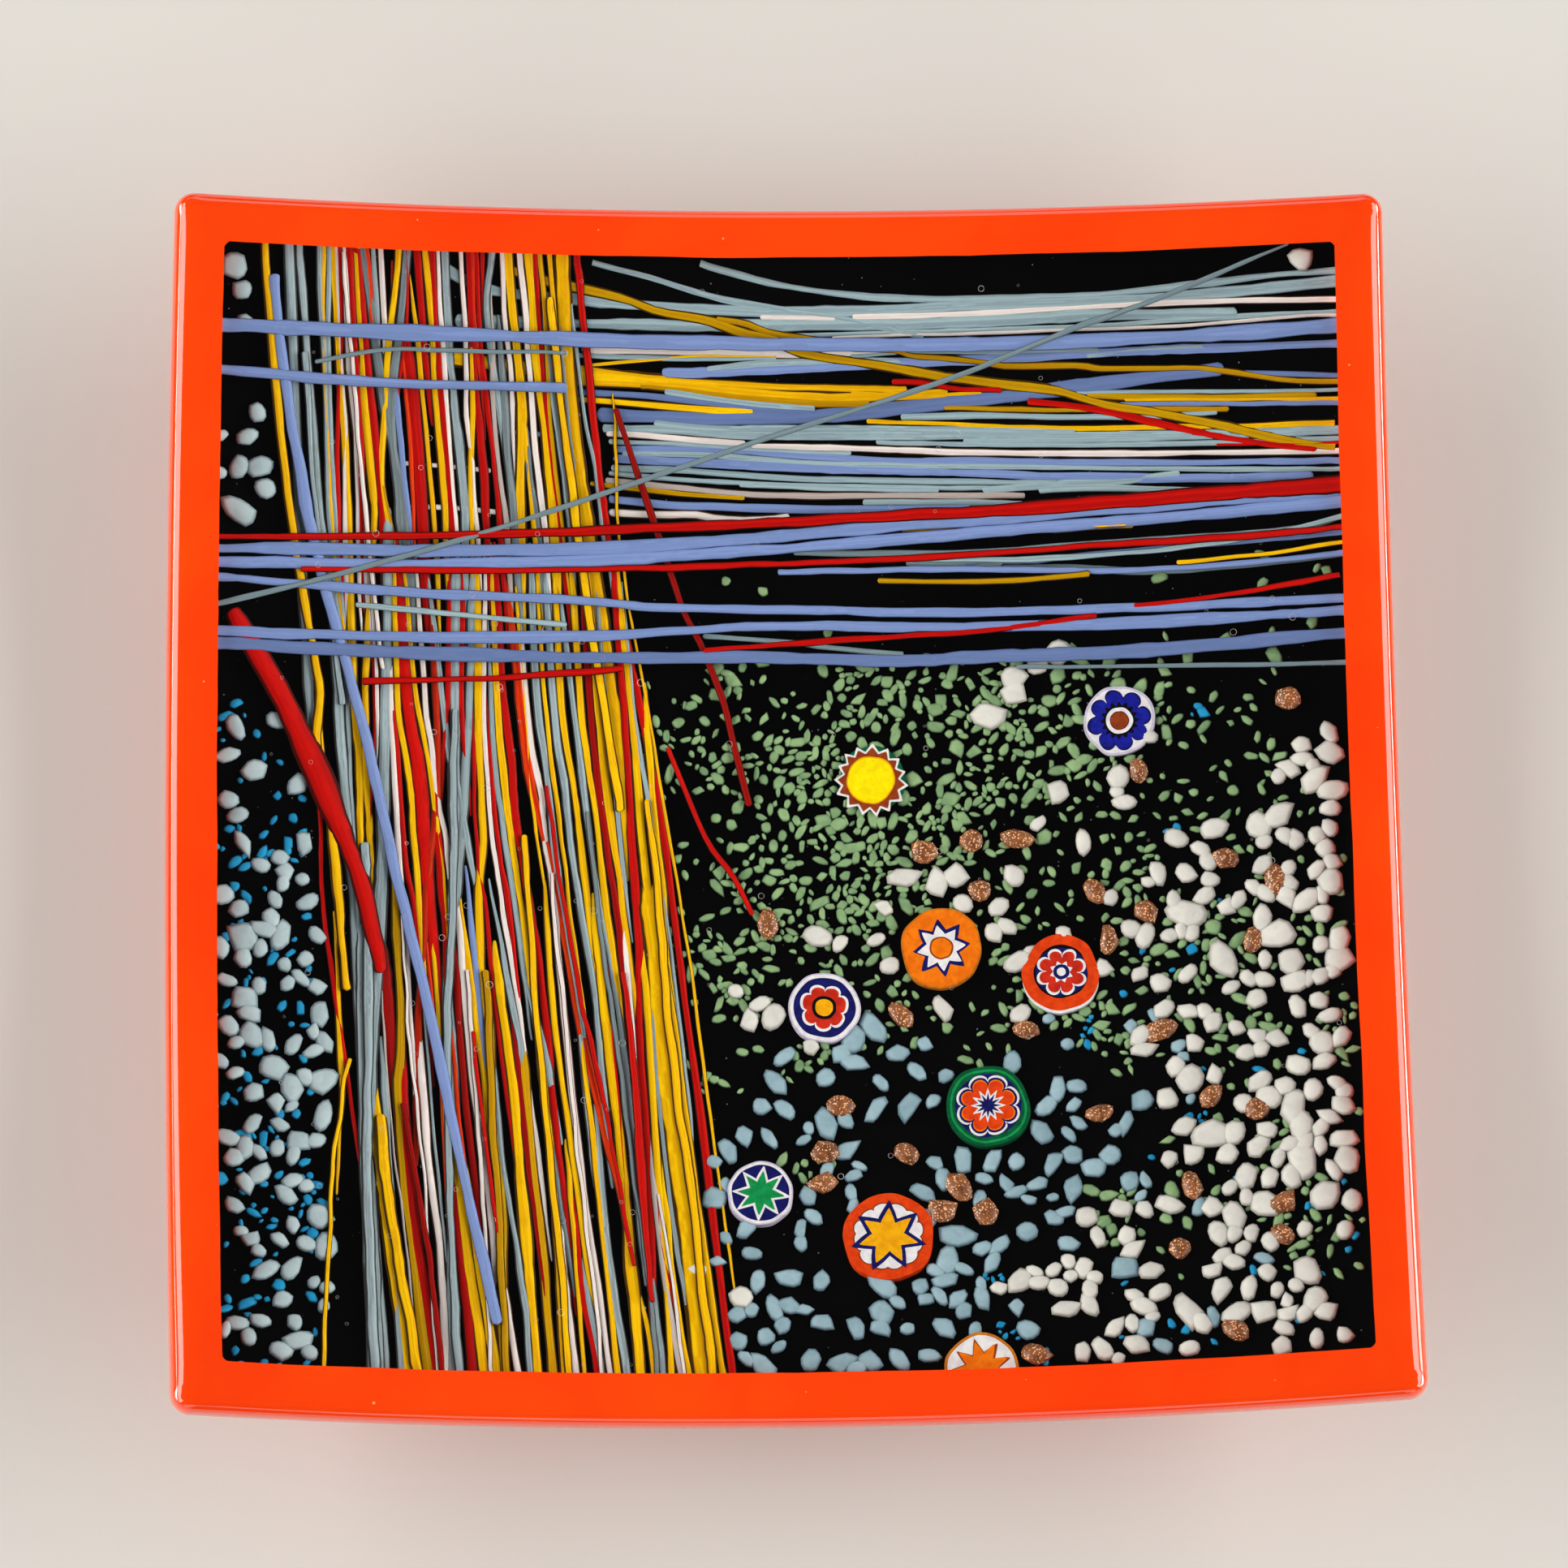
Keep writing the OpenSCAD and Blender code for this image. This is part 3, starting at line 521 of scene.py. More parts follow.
def islandsOf(node):
    bm = bmesh.new()
    bm.from_mesh(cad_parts[node].data)
    bmesh.ops.remove_doubles(bm, verts=bm.verts, dist=1e-6)
    seen = set()
    islands = []
    for start in bm.verts:
        if start in seen:
            continue
        island, waiting = [], [start]
        seen.add(start)
        while waiting:
            v = waiting.pop()
            island.append(unslump(v.co))
            for e in v.link_edges:
                other = e.other_vert(v)
                if other not in seen:
                    seen.add(other)
                    waiting.append(other)
        islands.append(island)
    bm.free()
    return islands


# Centre line of a strand: its rings of four points, sorted along it, as (place, half width)
def centreLine(island, along):
    points = sorted(island, key=lambda p: p[along])
    line = []
    for i in range(0, len(points), 4):
        ring = [Vector((p.x, p.y)) for p in points[i : i + 4]]
        middle = sum(points[i : i + 4], Vector()) / len(ring)
        middle = Vector((middle.x, middle.y))
        line.append((middle, max((p - middle).length for p in ring)))
    return line, max(p.z for p in island)


strandShape = {
    "sides": 8, "step": 2.2, "fewestRings": 9, "capShares": (0, 0.1, 0.4), "capPart": 8, "shortestCap": 0.1,
    "tip": 0.05, "freeFrom": 1.5, "rimGap": 0.05, "ahead": 0.01, "fade": 12.0, "fadeThin": 0.62,
    # Unevenness along a strand: how much, how often to a millimetre, seed step, layer of the noise
    "bow": (0.3, 0.035, 7.3, 0), "waver": (0.2, 0.16, 3.1, 5),
    "swell": (0.35, 0.07, 5.7, 9), "beads": (0.16, 0.4, 2.9, 3),
}


def lineAt(line, t):
    f = t * (len(line) - 1)
    i = min(int(f), len(line) - 2)
    f -= i
    a, b, c, d = (line[max(i - 1, 0)], line[i], line[i + 1], line[min(i + 2, len(line) - 1)])
    place = 0.5 * (
        2 * b[0] + (c[0] - a[0]) * f
        + (2 * a[0] - 5 * b[0] + 4 * c[0] - d[0]) * f * f
        + (3 * b[0] - a[0] - 3 * c[0] + d[0]) * f ** 3
    )
    return place, b[1] + (c[1] - b[1]) * f


def blankMesh(bm, name):
    mesh = bpy.data.meshes.new(name)
    bm.to_mesh(mesh)
    bm.free()
    return mesh


def tubeBlank(rings):
    bm = bmesh.new()
    bmesh.ops.create_cone(bm, cap_ends=True, segments=strandShape["sides"], radius1=1, radius2=1, depth=1)
    lengthwise = [e for e in bm.edges if abs(e.verts[0].co.z - e.verts[1].co.z) > 0.5]
    bmesh.ops.subdivide_edges(bm, edges=lengthwise, cuts=rings - 2, use_grid_fill=True)
    return blankMesh(bm, "tubeBlank%d" % rings)


tubeBlanks = {}


# Adds a copy of the blank to bm and gives its points
def addCopy(bm, blank):
    before = len(bm.verts)
    bm.from_mesh(blank)
    bm.verts.ensure_lookup_table()
    return bm.verts[before:]


def insidePanel(x, y, z, gap):
    limit = panelHalf - gap
    return Vector((max(-limit, min(limit, x)), max(-limit, min(limit, y)), z))


def unevenness(key, run, seed):
    amount, often, step, layer = strandShape[key]
    return noise.noise(Vector((run * often, seed * step, layer))) * amount


# The rings along a strand, as (place, sideways direction, half width, how far it sinks)
def strandStations(line, length, rings, seed, wave, sink):
    cap = max(min(line[0][1], length / strandShape["capPart"]), strandShape["shortestCap"])
    starts = [cap * share for share in strandShape["capShares"]]
    body = rings - 2 * len(starts)
    runs = starts + [cap + (length - 2 * cap) * i / (body - 1) for i in range(body)]
    runs += [length - run for run in reversed(starts)]
    ahead = strandShape["ahead"]
    stations = []
    for run in runs:
        t = run / length
        place, half = lineAt(line, t)
        heading = lineAt(line, min(t + ahead, 1))[0] - lineAt(line, max(t - ahead, 0))[0]
        side = Vector((-heading.y, heading.x)).normalized()
        shift = unevenness("bow", run, seed) + unevenness("waver", run, seed)
        half *= 1 + unevenness("swell", run, seed) + unevenness("beads", run, seed)
        gap = min(run, length - run)
        end = line[0][0] if run < length / 2 else line[-1][0]
        free = max(abs(end.x), abs(end.y)) < panelHalf - strandShape["freeFrom"]
        if free and gap < cap:
            half *= math.sqrt(max(1 - (1 - gap / cap) ** 2, strandShape["tip"]))
        fade = max(1 - gap / strandShape["fade"], 0) if free and sink else 0
        half *= 1 - strandShape["fadeThin"] * fade
        stations.append((place + side * shift * wave, side, half, sink * fade))
    return stations


# Adds one melted strand to bm: a low rounded ribbon that wavers along the line
def addStrand(bm, line, foot, height, seed, wave=1.0, sink=0.0):
    length = sum((line[i + 1][0] - line[i][0]).length for i in range(len(line) - 1))
    capRings = 2 * len(strandShape["capShares"])
    rings = max(strandShape["fewestRings"], capRings + round(length / strandShape["step"]))
    if rings not in tubeBlanks:
        tubeBlanks[rings] = tubeBlank(rings)
    made = addCopy(bm, tubeBlanks[rings])
    across = bm.verts.layers.float["across"]
    tint = bm.verts.layers.float["tint"]
    mood = random.Random(seed).random()
    stations = strandStations(line, length, rings, seed, wave, sink)
    for v in made:
        place, side, half, dip = stations[min(rings - 1, max(0, round((v.co.z + 0.5) * (rings - 1))))]
        v[across] = v.co.x
        v[tint] = mood
        flat = place + side * (half * v.co.x)
        rise = foot - dip + (0.5 + 0.5 * v.co.y) * height
        v.co = insidePanel(flat.x, flat.y, rise, strandShape["rimGap"])


def newPile():
    bm = bmesh.new()
    bm.verts.layers.float.new("across")
    bm.verts.layers.float.new("tint")
    return bm


# Stringers as colour, width, then the places that one passes through, x and y in turn
bundleStrands = [
    ("yellow", 0.9, -70.9, -24, -70.6, -34, -70.2, -44, -70.6, -52),
    ("red", 0.7, -73.5, 0, -73, -15, -71, -30, -68.5, -48),
    ("red", 2.2, -63.5, -24, -62, -38, -60.5, -52, -58, -72, -55.5, -91),
    ("light", 1.6, -79.3, 91, -76.8, 47, -75, 18, -74.7, 13),
    ("light", 1.2, -77.6, 91, -75.5, 70, -73.3, 47, -70.6, 26, -69.6, 10, -69, -4, -68, -20, -66.9, -50, -66.4,
     -91),
    ("grey", 1, -74.6, 91, -72.6, 60, -71.6, 40, -69, 20, -68.3, 0, -66.6, -30, -65.6, -60, -63.9, -91),
    ("yellow", 0.8, -73.7, 91, -73.2, 75, -72.4, 60, -71.6, 47, -69.5, 30),
    ("grey", 0.9, -72.8, 91, -72.4, 70, -71.2, 50, -70, 36),
    ("red", 0.8, -71, 91, -70.4, 78, -70.8, 60, -70.5, 47, -70, 38),
    ("yellow", 1.3, -72, 91, -71.3, 80, -70, 64, -68.8, 47, -68.3, 30, -67.6, 16, -66.9, 8, -67, -2),
    ("white", 0.9, -71.2, 83, -70.3, 70, -69.6, 60, -69.6, 47, -69.2, 36),
    ("red", 1.3, -69.5, 91, -68.5, 75, -67.6, 66, -66.9, 52, -66.6, 42),
    ("white", 0.7, -70.3, 91, -69, 78, -68.2, 66, -67.6, 47, -67.2, 38),
    ("white", 1.2, -69.6, 80, -68.9, 70, -67.3, 58, -66.3, 47, -65.6, 34, -64.9, 28),
    ("yellow", 1.3, -68.4, 91, -67.2, 76, -66.6, 66, -65.2, 54, -64.8, 47, -65.8, 30, -66.2, 18, -65.8, 6,
     -65.4, -2),
    ("grey", 1.5, -67.2, 91, -65.5, 79, -63.1, 66, -61.2, 57, -59.5, 46, -58.7, 36),
    ("red", 1.3, -67.3, 82, -65.7, 68, -64.5, 58, -63.5, 47, -63.2, 38),
    ("ember", 0.9, -66.7, 91, -65.7, 82, -64.9, 74),
    ("grey", 0.8, -65.6, 91, -64.9, 82, -64.3, 74),
    ("white", 0.9, -64.4, 91, -63.7, 80, -63.4, 75),
    ("ember", 0.8, -62.4, 89, -62.2, 80),
    ("yellow", 1.1, -61.3, 91, -61.7, 84, -62.6, 76, -63.2, 64, -63.8, 54, -62.4, 46, -61.4, 36),
    ("yellow", 0.9, -64.4, 56, -62.8, 49, -61.6, 42),
    ("light", 1.4, -60, 91, -60.8, 80, -62.2, 66, -61.2, 55, -60.6, 47),
    ("red", 0.6, -60.4, 91, -60, 80, -60.9, 70),
    ("yellow", 0.8, -59.5, 88, -58.2, 78, -57.4, 68, -55.9, 54, -55, 44, -54.6, 36),
    ("periwinkle", 0.9, -61.4, 68, -60.2, 56, -59, 47),
    ("red", 1.9, -60, 77, -59.2, 70, -58.3, 62, -57.4, 54, -56.8, 46, -56.4, 38),
    ("ember", 0.6, -60.4, 74, -59.3, 64, -58.5, 52, -58.1, 44),
    ("red", 1.2, -58.4, 91, -57.5, 82, -56.5, 72),
    ("yellow", 1.1, -57.2, 91, -56, 81, -55.4, 70, -54.3, 60, -53.4, 50, -52.9, 38),
    ("red", 1.1, -56, 91, -55.3, 80, -54.2, 68, -53.1, 58, -52.2, 46, -51.8, 38),
    ("white", 0.8, -55, 91, -54.4, 80, -53.4, 68, -52.6, 58, -51.4, 46, -51, 38),
    ("grey", 1.4, -54, 91, -53.2, 78, -52.4, 70, -51.2, 60, -50.2, 50, -50.2, 36),
    ("white", 0.8, -51.5, 91, -50.7, 82, -50.1, 74, -50, 66, -49, 56, -48.2, 46, -47.6, 38),
    ("red", 1.1, -50, 91, -49.3, 78, -48.4, 68, -47.3, 58, -46.6, 47, -46, 36),
    ("red", 0.8, -48.8, 91, -48.1, 80, -47.4, 70),
    ("ember", 0.5, -49.4, 91, -48.8, 80, -48, 72),
    ("red", 0.6, -47.8, 91, -47.6, 80),
    ("yellow", 1, -49.3, 77, -49.1, 66, -49.4, 56, -49.1, 47, -48.8, 36),
    ("grey", 1.2, -46.2, 91, -46.9, 84, -46.3, 76, -45, 68, -44.2, 62),
    ("white", 0.9, -44.6, 91, -44, 80, -43, 72, -42.6, 64),
    ("yellow", 1.7, -43.4, 91, -42.7, 82, -41.8, 74, -41.1, 66, -41.2, 58, -41.4, 50, -41, 38),
    ("white", 1, -41.8, 91, -40.6, 80, -39.8, 70, -38.8, 58, -37.2, 48, -36.6, 38),
    ("yellow", 1.7, -40.4, 91, -39.5, 80, -38.4, 70, -37, 60, -35.9, 48, -35.3, 38),
    ("red", 0.9, -39.3, 91, -38.3, 80, -37.2, 66, -36, 56, -34.6, 46, -33.6, 36),
    ("yellow", 0.9, -38.5, 91, -37.6, 82, -36.8, 66, -35.4, 54, -34.2, 44, -33.3, 36),
    ("grey", 1, -38, 88, -37.5, 80, -36.2, 68, -34.6, 58, -33.2, 48, -32.6, 38),
    ("yellow", 0.9, -37, 91, -36, 82, -35.2, 74),
    ("grey", 0.8, -34.9, 80, -33.6, 66, -32.6, 56, -31.8, 47, -31.2, 38),
    ("yellow", 2.3, -34.8, 91, -34.3, 78, -33.2, 66, -31.8, 56, -30.3, 47, -28.7, 36, -27.4, 26, -26.4, 18,
     -25.4, 8, -24.8, 0),
    ("grey", 0.6, -32.8, 80, -31, 66, -29.2, 56, -28.1, 47, -26.6, 38),
    ("white", 0.9, -46, 76, -45.6, 66, -44.6, 56, -43.4, 47, -42.8, 38),
    ("red", 0.8, -47.3, 72, -46, 62, -45, 52, -44.4, 44, -43.8, 36),
    ("grey", 1.3, -44.4, 72, -43.6, 62, -42.7, 52, -42, 44, -41.4, 36),
    ("yellow", 0.8, -40.7, 64, -39.8, 56, -38.8, 46, -38.2, 38),
    ("grey", 1, -40.2, 62, -39.4, 54, -38.2, 46, -37.6, 36),
    ("red", 1.1, -32.5, 91, -31.3, 80, -28.6, 56, -27.3, 47, -24.8, 32, -21.9, 18, -19, 0, -16.6, -20, -13.4,
     -50, -9.8, -91),
    ("yellow", 0.5, -26, 60, -25.6, 50, -24.2, 38, -21, 20, -18.4, 2, -15.2, -20, -12.8, -42, -10.4, -64, -8.8,
     -80),
    # From the crossing lines down
    ("light", 1.8, -62.6, 41, -62.9, 18, -63.3, 0, -63.9, -15, -65.4, -36, -65.9, -55, -65.3, -91),
    ("light", 1.5, -71.2, 28, -70.2, 14, -69.2, 2, -68.4, -6),
    ("yellow", 0.9, -73.9, 20, -73.2, 10, -72.6, 4),
    ("red", 0.5, -64.9, 28, -64.6, 16, -65, 4),
    ("white", 0.9, -64.9, 36, -64.4, 24, -64.3, 16),
    ("white", 1, -62.1, 22, -61.5, 8, -60.9, -4, -60.2, -14, -59.6, -24, -58.8, -42),
    ("red", 1, -61.8, 18, -60.6, 6, -59.9, -6, -58.6, -14, -57.4, -24, -56.4, -34),
    ("yellow", 1.1, -61.4, 36, -60.9, 18, -59.4, 8, -58.5, -2, -57.6, -14, -56.9, -26),
    ("red", 2, -60.6, 36, -59.3, 18, -57.7, 10, -56.8, 0, -56.3, -8, -55.6, -20, -54.8, -34),
    ("yellow", 0.9, -59.6, 36, -58, 20, -56.5, 12, -55.4, 4, -54.4, -4, -53.7, -12, -53.2, -24),
    ("white", 0.9, -57.6, 36, -56.6, 20, -55.6, 12, -54.7, 4, -53.4, -2, -52.9, -8),
    ("ember", 1.2, -55.2, 28, -54.5, 10, -55, 0, -56.3, -10, -57, -20, -57.9, -30, -58.4, -47),
    ("red", 1.2, -54.6, 0, -53.9, -10, -53.3, -18, -53.5, -30),
    ("red", 0.9, -52.8, 36, -52.9, 22, -53.5, 12),
    ("light", 1.8, -51.7, 36, -51.7, 18, -52, 6, -51.8, -4, -52.5, -16, -53.3, -28, -52.6, -40, -53, -60, -54,
     -91),
    ("light", 1.5, -49, 36, -49.6, 18, -50.4, 6, -51, -4, -51.7, -12),
    ("light", 1.1, -55.2, 32, -54, 22, -52.8, 12, -51.4, 6, -50, -2, -48.9, -8),
    ("red", 0.9, -50.6, 36, -50.7, 18, -50, 10),
    ("yellow", 1.4, -48.2, 36, -48, 18, -47.8, 8, -47.5, -2, -48.1, -12, -47.8, -24, -46.8, -36, -46.4, -46),
    ("red", 0.7, -49, 14, -48.9, 4, -48.4, -6, -47, -14, -46, -24, -45, -36, -43.6, -48, -42, -62, -41.4, -68),
    ("white", 0.8, -46.9, 36, -47, 18, -46.6, 8, -46, -2, -44.9, -10, -43.8, -18, -42.2, -28, -40.9, -40, -39.4,
     -52, -38.4, -62),
    ("red", 0.8, -46.4, 14, -45.6, 2, -44.6, -6, -43.6, -12, -42.6, -20, -41.8, -30),
    ("grey", 0.9, -46.2, 24, -45.5, 10, -44.3, 0, -43.1, -8, -42, -16, -40.9, -26),
    ("yellow", 1.1, -45.8, 36, -45.1, 18, -44, 6, -43, -2, -42, -10, -40.8, -18, -39.4, -30, -38.4, -42),
    ("red", 1.2, -44.9, 36, -43.9, 20, -42.9, 10, -42.4, 2, -41.2, -6, -40, -14, -38.6, -24, -37.4, -36, -36.8,
     -46, -35.6, -60, -34, -80),
    ("yellow", 0.6, -41.6, 34, -40.6, 18, -39.9, 8, -38.9, 0, -37.9, -8),
    ("ember", 1.3, -42.6, 30, -41.3, 18, -40, 8, -38.3, 0, -36.8, -6, -35.3, -14, -34, -22, -31.8, -36, -28.8,
     -50, -26.6, -60, -25, -71),
    ("white", 1.1, -40.8, 26, -39.5, 12, -38.1, 4, -37.4, -4, -36.3, -10, -35.7, -22, -34.1, -40, -32, -62,
     -30.6, -76, -29, -91),
    ("grey", 1.2, -39.3, 36, -38.4, 18, -37.2, 8, -36, -4, -34.8, -14, -33, -26, -31.8, -38, -31, -50),
    ("yellow", 0.8, -38.2, 34, -37.2, 18, -36, 6, -34.9, -4, -33.8, -14, -32.4, -24),
    ("grey", 1.1, -37, 36, -35.9, 18, -34.4, 6, -33.4, -4, -32, -14, -30.2, -26, -29.2, -38, -28.4, -50),
    ("yellow", 1.1, -35.5, 36, -34.6, 18, -33, 6, -31.9, -4, -30.6, -16, -29, -28, -28.2, -38),
    ("grey", 1.1, -34, 30, -32.9, 20, -31.6, 8, -30.4, -2, -28.9, -14, -27.3, -24, -25.9, -34, -24.6, -48,
     -23.6, -66),
    ("yellow", 1.2, -32.6, 36, -31.5, 18, -30.2, 8, -29, -2, -27.9, -14, -26.4, -26),
    ("red", 1.1, -31.2, 34, -30.2, 18, -29, 8, -27.6, -4, -26.3, -14, -25.4, -22, -24.2, -34, -23.2, -44),
    ("yellow", 1.3, -30, 36, -28.8, 18, -27.6, 4, -26, -8, -24.8, -18, -23.8, -28),
    ("grey", 0.9, -28.9, 34, -27.6, 18, -26.4, 8, -25.5, -2, -24.7, -10),
    ("red", 1.2, -26, 36, -24.9, 20, -24.2, 10, -23.9, 0, -23.4, -10, -22.8, -20, -23.1, -34, -22.3, -48, -21.9,
     -60, -22, -77),
    ("yellow", 1.4, -25, 34, -23.6, 20, -22.8, 8, -22, -4, -21.2, -14, -20.8, -24),
    ("grey", 0.7, -24.2, 30, -23.1, 18, -21.5, 6, -20, -4, -18.7, -12, -17.9, -20, -16.2, -36, -15, -52, -15.6,
     -62, -16.1, -71),
    ("yellow", 1.3, -21, 14, -20.2, 2, -19, -10, -18.6, -20, -17, -34),
    # The lower half
    ("grey", 1.3, -67, -26, -67, -52, -66.6, -74, -65.9, -91),
    ("grey", 1.1, -63.4, -44, -62.8, -60, -62.2, -76, -61.6, -91),
    ("yellow", 2.3, -64.6, -51, -64.2, -58, -63.5, -66, -62, -78, -60.1, -91),
    ("white", 0.4, -63.2, -36, -62.2, -52, -60.8, -66, -59.6, -80, -58.6, -91),
    ("yellow", 1.5, -61.3, -18, -60.8, -34, -61.2, -46, -60.4, -60, -59.2, -74, -57.5, -91),
    ("red", 1.7, -60.4, -42, -60.2, -56, -59.2, -68, -57, -80, -55.8, -91),
    ("white", 1.2, -57.7, -40, -56.9, -54, -55.4, -68, -54.9, -80, -54.9, -91),
    ("grey", 0.5, -56.8, -36, -55.8, -52, -54.6, -66),
    ("ember", 0.6, -56, -26, -54.8, -40, -54.2, -56, -53.6, -72),
    ("yellow", 0.9, -55.3, -24, -54.3, -40, -54, -52),
    ("red", 1.1, -51.9, -26, -51, -42, -49.8, -54, -48.7, -64, -47.6, -76),
    ("white", 1.2, -51.1, -20, -49.9, -36, -48.6, -50, -47.2, -62, -46.6, -72),
    ("yellow", 1.2, -50.4, -20, -49, -32, -47.6, -42, -47.2, -52),
    ("periwinkle", 0.9, -49.4, -16, -48.4, -28, -47.4, -40),
    ("ember", 0.7, -52.7, -34, -51.7, -48, -50.6, -60, -49.4, -72),
    ("red", 1.5, -53, -58, -52, -72, -51, -82, -50.4, -91),
    ("yellow", 1.6, -52.4, -54, -51.3, -68, -49.8, -80, -48.7, -91),
    ("yellow", 1.6, -50.6, -60, -49.2, -72, -47.6, -84, -46.9, -91),
    ("white", 0.8, -53, -80, -52.6, -91),
    ("yellow", 1.5, -46.9, -34, -46.2, -50, -45.2, -64, -45.6, -78, -45.4, -91),
    ("white", 1.1, -45.4, -74, -44.4, -82, -43.2, -91),
    ("red", 0.8, -45.3, -78, -44.2, -86.5),
    ("grey", 1, -46, -42, -45, -56, -43.3, -68, -42, -80, -41.5, -91),
    ("yellow", 1.6, -44.8, -28, -43, -44, -42.4, -58, -41.2, -74, -40.3, -91),
    ("red", 0.9, -42.6, -38, -41.1, -54, -39.7, -66, -38.8, -77),
    ("yellow", 1.4, -41.2, -42, -40, -58, -38.8, -74, -37.8, -91),
    ("light", 1, -45, -18, -43.6, -26, -42.2, -34, -41.5, -40),
    ("light", 1.4, -40, -28, -38.6, -35, -37.6, -40, -37.1, -43),
    ("light", 1.1, -37.6, -50, -36.6, -58, -35.2, -68),
    ("yellow", 1.1, -37.2, -18, -36.2, -34, -34.7, -48, -33.2, -62, -31.8, -74, -30.8, -82),
    ("yellow", 1.3, -38.2, -44, -37, -60, -36.4, -76, -36, -91),
    ("white", 1.3, -36.3, -66, -35.7, -77, -34.3, -91),
    ("yellow", 0.9, -34.4, -60, -33.8, -74, -33, -91),
    ("red", 1, -33.8, -64, -33, -76, -31.3, -86, -30.8, -91),
    ("light", 1.2, -32.7, -74, -31.1, -84, -30.4, -91),
    ("yellow", 1, -31.6, -40, -30.4, -54, -29.2, -68, -28.2, -82, -27.9, -91),
    ("grey", 1.1, -29.8, -54, -28.7, -70, -27.1, -84, -26.3, -91),
    ("yellow", 1.7, -29.2, -20, -28.1, -34, -26.7, -50, -25.6, -64, -24.9, -78, -24.2, -91),
    ("red", 0.6, -27.4, -30, -26.2, -50, -25.6, -62),
    ("white", 0.9, -24.9, -22, -24, -36, -23.2, -48),
    ("yellow", 0.9, -23.6, -78, -22.4, -84, -22, -91),
    ("grey", 1.4, -22.4, -74, -21.3, -84, -20.7, -91),
    ("yellow", 1.3, -21.9, -28, -21, -44, -20.4, -58, -19.6, -74, -19.2, -91),
    ("white", 1.2, -21.3, -58, -20, -74, -18.7, -84, -17.9, -91),
    ("red", 0.7, -21.2, -58, -20.3, -68, -18.9, -76),
    ("grey", 0.7, -20.9, -32, -20, -50, -18.6, -64, -17.1, -74.5),
    ("yellow", 3.3, -20.6, -18, -18.6, -42, -16.2, -66, -14.2, -91),
    ("yellow", 1.2, -18.4, -26, -16.7, -40, -14.7, -60, -12.4, -80, -11.4, -91),
    ("yellow", 0.8, -19.4, -62, -18.2, -76, -16.4, -91),
]
